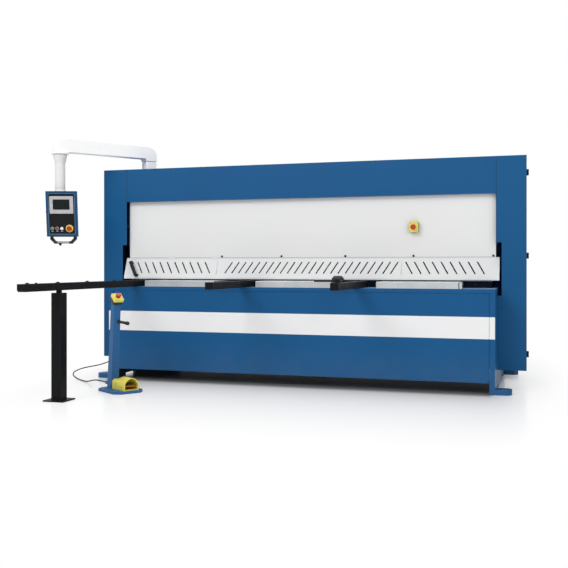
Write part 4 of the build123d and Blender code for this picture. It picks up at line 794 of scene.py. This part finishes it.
# Hydraulic unit: cooling fins and fan cover on the motor, filler cap and level glass on the tank
UNIT_Y = 0.280
MOTOR = placed((0.0, UNIT_Y, 1.690), REARWARD, RIGHTWARD)
FIN_COUNT = 28
FIN_RADIUS = 0.0775
fins = [MOTOR @ Matrix.Rotation(2 * math.pi * i / FIN_COUNT, 4, "Z") @ Matrix.Translation((FIN_RADIUS, 0.0, 0.0))
        for i in range(FIN_COUNT)]
slab("motor_fins", rounded(0.0070, 0.0030, 0.0010), -0.100, 0.095, fins, inner_blue_shade, "frame", 0.0)
FAN_COVER = [(0.0, -0.162), (0.050, -0.162), (0.072, -0.158), (0.080, -0.150), (0.080, -0.108), (0.076, -0.106)]
lathe("motor_fan_cover", FAN_COVER, [MOTOR], black_plastic, "frame", 40)
lathe("tank_filler", [(0.030, 0.0), (0.030, 0.012), (0.036, 0.014), (0.038, 0.020), (0.038, 0.034), (0.034, 0.040),
                      (0.0, 0.040)], [Matrix.Translation((-0.300, UNIT_Y, 1.600))], black_plastic, "frame",
      36)
TANK_BACK = 0.4302
slab("tank_level_glass", rounded(0.022, 0.120, 0.006), 0.0, 0.010,
     [placed((0.300, TANK_BACK, 1.450), LEFTWARD, REARWARD)], screen_glass, "frame", 0.001)
lathe("tank_level_ends", [(0.0, 0.0150), (0.0080, 0.0140), (0.0095, 0.0120), (0.0095, 0.0)],
      [placed((0.300, TANK_BACK, z), LEFTWARD, REARWARD) for z in (1.402, 1.498)], dark_steel, "frame")

# Drive: hoses from the tank to the cylinders and a clamp ring on each cylinder
CYLINDER_X = 1.380
TANK_PORT = (0.420, 0.200, 1.420)
CYLINDER_PORT = (CYLINDER_X, 0.0290, 1.440)
HOSE_RUN = [TANK_PORT, (0.520, 0.200, 1.418), (0.800, 0.190, 1.405), (1.160, 0.160, 1.405), (1.330, 0.120, 1.425),
            (CYLINDER_X, 0.070, 1.440), (CYLINDER_X, 0.026, 1.440)]
HOSE_END = [(0.0112, 0.0), (0.0150, 0.001), (0.0150, 0.020), (0.0128, 0.022), (0.0128, 0.034), (0.0112, 0.034)]
for side, name in ((-1, "left"), (1, "right")):
    hose(f"cylinder_hose_{name}", [(side * x, y, z) for x, y, z in HOSE_RUN], 0.011, rubber, "frame")
    lathe(f"hose_ends_{name}", HOSE_END,
          [placed((side * TANK_PORT[0], *TANK_PORT[1:]), UP, (side, 0, 0)),
           placed((side * CYLINDER_PORT[0], *CYLINDER_PORT[1:]), UP, REARWARD)],
          dark_steel, "frame", 6, False)
lathe("cylinder_rings", [(0.0801, 0.0), (0.0860, 0.002), (0.0860, 0.016), (0.0801, 0.018)],
      [Matrix.Translation((side * CYLINDER_X, -0.050, 1.396)) for side in (-1, 1)], black_plastic, "frame",
      48)

# Back gauge: lead screws with end bearings, and the shaft that turns both
LEAD_SCREWS = (-0.960, 0.960)
BEARING_HEIGHT = 1.1105
for i, x in enumerate(LEAD_SCREWS):
    lathe(f"gauge_screw_{i + 1}", [(0.0, 0.0), (0.0110, 0.001), (0.0110, 0.500), (0.0, 0.501)],
          [placed((x, 0.090, 1.110), UP, REARWARD)], rod_metal, "frame", 24)
slab("gauge_bearings", rounded(0.060, 0.042, 0.008), 0.0, 0.030,
     [facing((x, y, BEARING_HEIGHT), FRONT) for x in LEAD_SCREWS for y in (0.120, 0.610)], dark_steel, "frame",
     0.0015)
lathe("gauge_shaft", [(0.0, -0.930), (0.0090, -0.929), (0.0090, 0.929), (0.0, 0.930)],
      [placed((0.0, 0.595, BEARING_HEIGHT), UP, RIGHTWARD)], rod_metal, "frame", 20)


# Camera
VIEW_AZIMUTH = math.radians(17.4)
camera_data = bpy.data.cameras.new("camera")
camera_data.lens = 53.94
camera_data.sensor_width = 36.0
camera_data.shift_y = -0.0335
camera = bpy.data.objects.new("camera", camera_data)
camera.location = (1.994, -7.163, 0.965)
camera.rotation_euler = (math.pi / 2, 0.0, VIEW_AZIMUTH)
scene.collection.objects.link(camera)
scene.camera = camera


# Control cord
CORD_RADIUS = 0.005
CORD_ROUTE = [
    (-1.30275, -1.25633, 0.053), (-1.35415, -1.22166, 0.053), (-1.440, -1.152, 0.051), (-1.545, -1.052, 0.033),
    (-1.640, -0.973, 0.0055), (-1.738, -0.904, 0.0055), (-1.830, -0.815, 0.0055), (-1.918, -0.712, 0.0055),
    (-2.000, -0.600, 0.0055), (-2.066, -0.485, 0.0055), (-2.118, -0.360, 0.0055), (-2.150, -0.235, 0.0055),
    (-2.166, -0.115, 0.0055), (-2.150, -0.020, 0.0065), (-2.075, 0.018, 0.022), (-1.985, 0.032, 0.056),
    (-1.890, 0.050, 0.090), (-1.806, 0.076, 0.124), (-1.738, 0.098, 0.170), (-1.698, 0.108, 0.230),
    (-1.698, 0.108, 0.284)]
cord = hose("cord_run", CORD_ROUTE, CORD_RADIUS, rubber, "frame", roundness=5, steps=10)
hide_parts("control_cord")


# Floor, light and background
def seen_directly(tree):
    """1 for what the camera, a mirror or a glass shows, 0 for light on the object."""
    path = add(tree, "ShaderNodeLightPath")
    seen = combined(tree, "MAXIMUM", path.outputs["Is Camera Ray"], path.outputs["Is Glossy Ray"])
    return combined(tree, "MAXIMUM", seen, path.outputs["Is Transmission Ray"])


WORLD_STRENGTH = 0.55
world = bpy.data.worlds.new("world")
scene.world = world
world.use_nodes = True
world_tree = world.node_tree
world_tree.nodes.clear()
world_output = add(world_tree, "ShaderNodeOutputWorld")
background = add(world_tree, "ShaderNodeBackground")
background.inputs["Color"].default_value = (1, 1, 1, 1)
world_tree.links.new(span(world_tree, seen_directly(world_tree), WORLD_STRENGTH, 1.0),
                     background.inputs["Strength"])
world_tree.links.new(background.outputs[0], world_output.inputs["Surface"])

FLOOR_HALF = 40.0
FLOOR_SHADE = (0.30, 0.30, 0.31, 1)
FLOOR_PALE = (0.86, 0.86, 0.87, 1)
FADE_REACH = 10.0
FADE_END = 2.0
floor_mesh = bpy.data.meshes.new("floor")
floor_mesh.from_pydata([(-FLOOR_HALF, -FLOOR_HALF, 0), (FLOOR_HALF, -FLOOR_HALF, 0),
                        (FLOOR_HALF, FLOOR_HALF, 0), (-FLOOR_HALF, FLOOR_HALF, 0)], [], [(0, 1, 2, 3)])
floor = bpy.data.objects.new("floor", floor_mesh)
floor.location.z = -0.0005
scene.collection.objects.link(floor)
floor_material, floor_tree, floor_shader = new_material("floor_finish")
floor_shader.inputs["Roughness"].default_value = 0.2


def beyond(tree, axis, half, weight):
    """How far a floor point lies outside the machine along one axis, weighted."""
    return span(tree, away_from_middle(tree, axis), 0.0, FADE_REACH * weight, half, half + FADE_REACH)


outside = add(floor_tree, "ShaderNodeCombineXYZ")
floor_tree.links.new(beyond(floor_tree, "X", 1.56, 3.4), outside.inputs[0])
floor_tree.links.new(beyond(floor_tree, "Y", 0.68, 1.0), outside.inputs[1])
reach = add(floor_tree, "ShaderNodeVectorMath", operation="LENGTH")
floor_tree.links.new(outside.outputs[0], reach.inputs[0])
fade = add(floor_tree, "ShaderNodeMath", operation="POWER")
floor_tree.links.new(span(floor_tree, reach.outputs["Value"], 0.0, 1.0, 0.05, FADE_END), fade.inputs[0])
fade.inputs[1].default_value = 0.7
shown = times(floor_tree, fade.outputs[0], seen_directly(floor_tree))
glow = add(floor_tree, "ShaderNodeEmission", Strength=1.0)
floor_tree.links.new(mix(floor_tree, span(floor_tree, reach.outputs["Value"], 0.0, 1.0, 0.0, 0.12),
                         FLOOR_SHADE, FLOOR_PALE), floor_shader.inputs["Base Color"])
blend = add(floor_tree, "ShaderNodeMixShader")
floor_tree.links.new(shown, blend.inputs["Fac"])
floor_tree.links.new(floor_shader.outputs[0], blend.inputs[1])
floor_tree.links.new(glow.outputs[0], blend.inputs[2])
floor_output = next(n for n in floor_tree.nodes if n.type == "OUTPUT_MATERIAL")
floor_tree.links.new(blend.outputs[0], floor_output.inputs["Surface"])
floor_mesh.materials.append(floor_material)


def area_light(name, location, target, size, power):
    """A rectangular lamp that looks at a target."""
    light = bpy.data.lights.new(name, "AREA")
    light.shape = "RECTANGLE"
    light.size, light.size_y = size
    light.energy = power
    made = bpy.data.objects.new(name, light)
    made.location = location
    made.rotation_euler = (Vector(target) - Vector(location)).to_track_quat("-Z", "Y").to_euler()
    scene.collection.objects.link(made)


area_light("key_light", (-2.5, -6.5, 5.5), (0, -0.3, 0.9), (4.0, 3.0), 260)
area_light("fill_light", (4.5, -6.0, 3.0), (0, -0.3, 0.9), (4.0, 3.0), 110)
area_light("top_light", (0, 0.5, 6.0), (0, 0, 1.0), (6.0, 3.0), 120)

scene.view_settings.view_transform = "Standard"
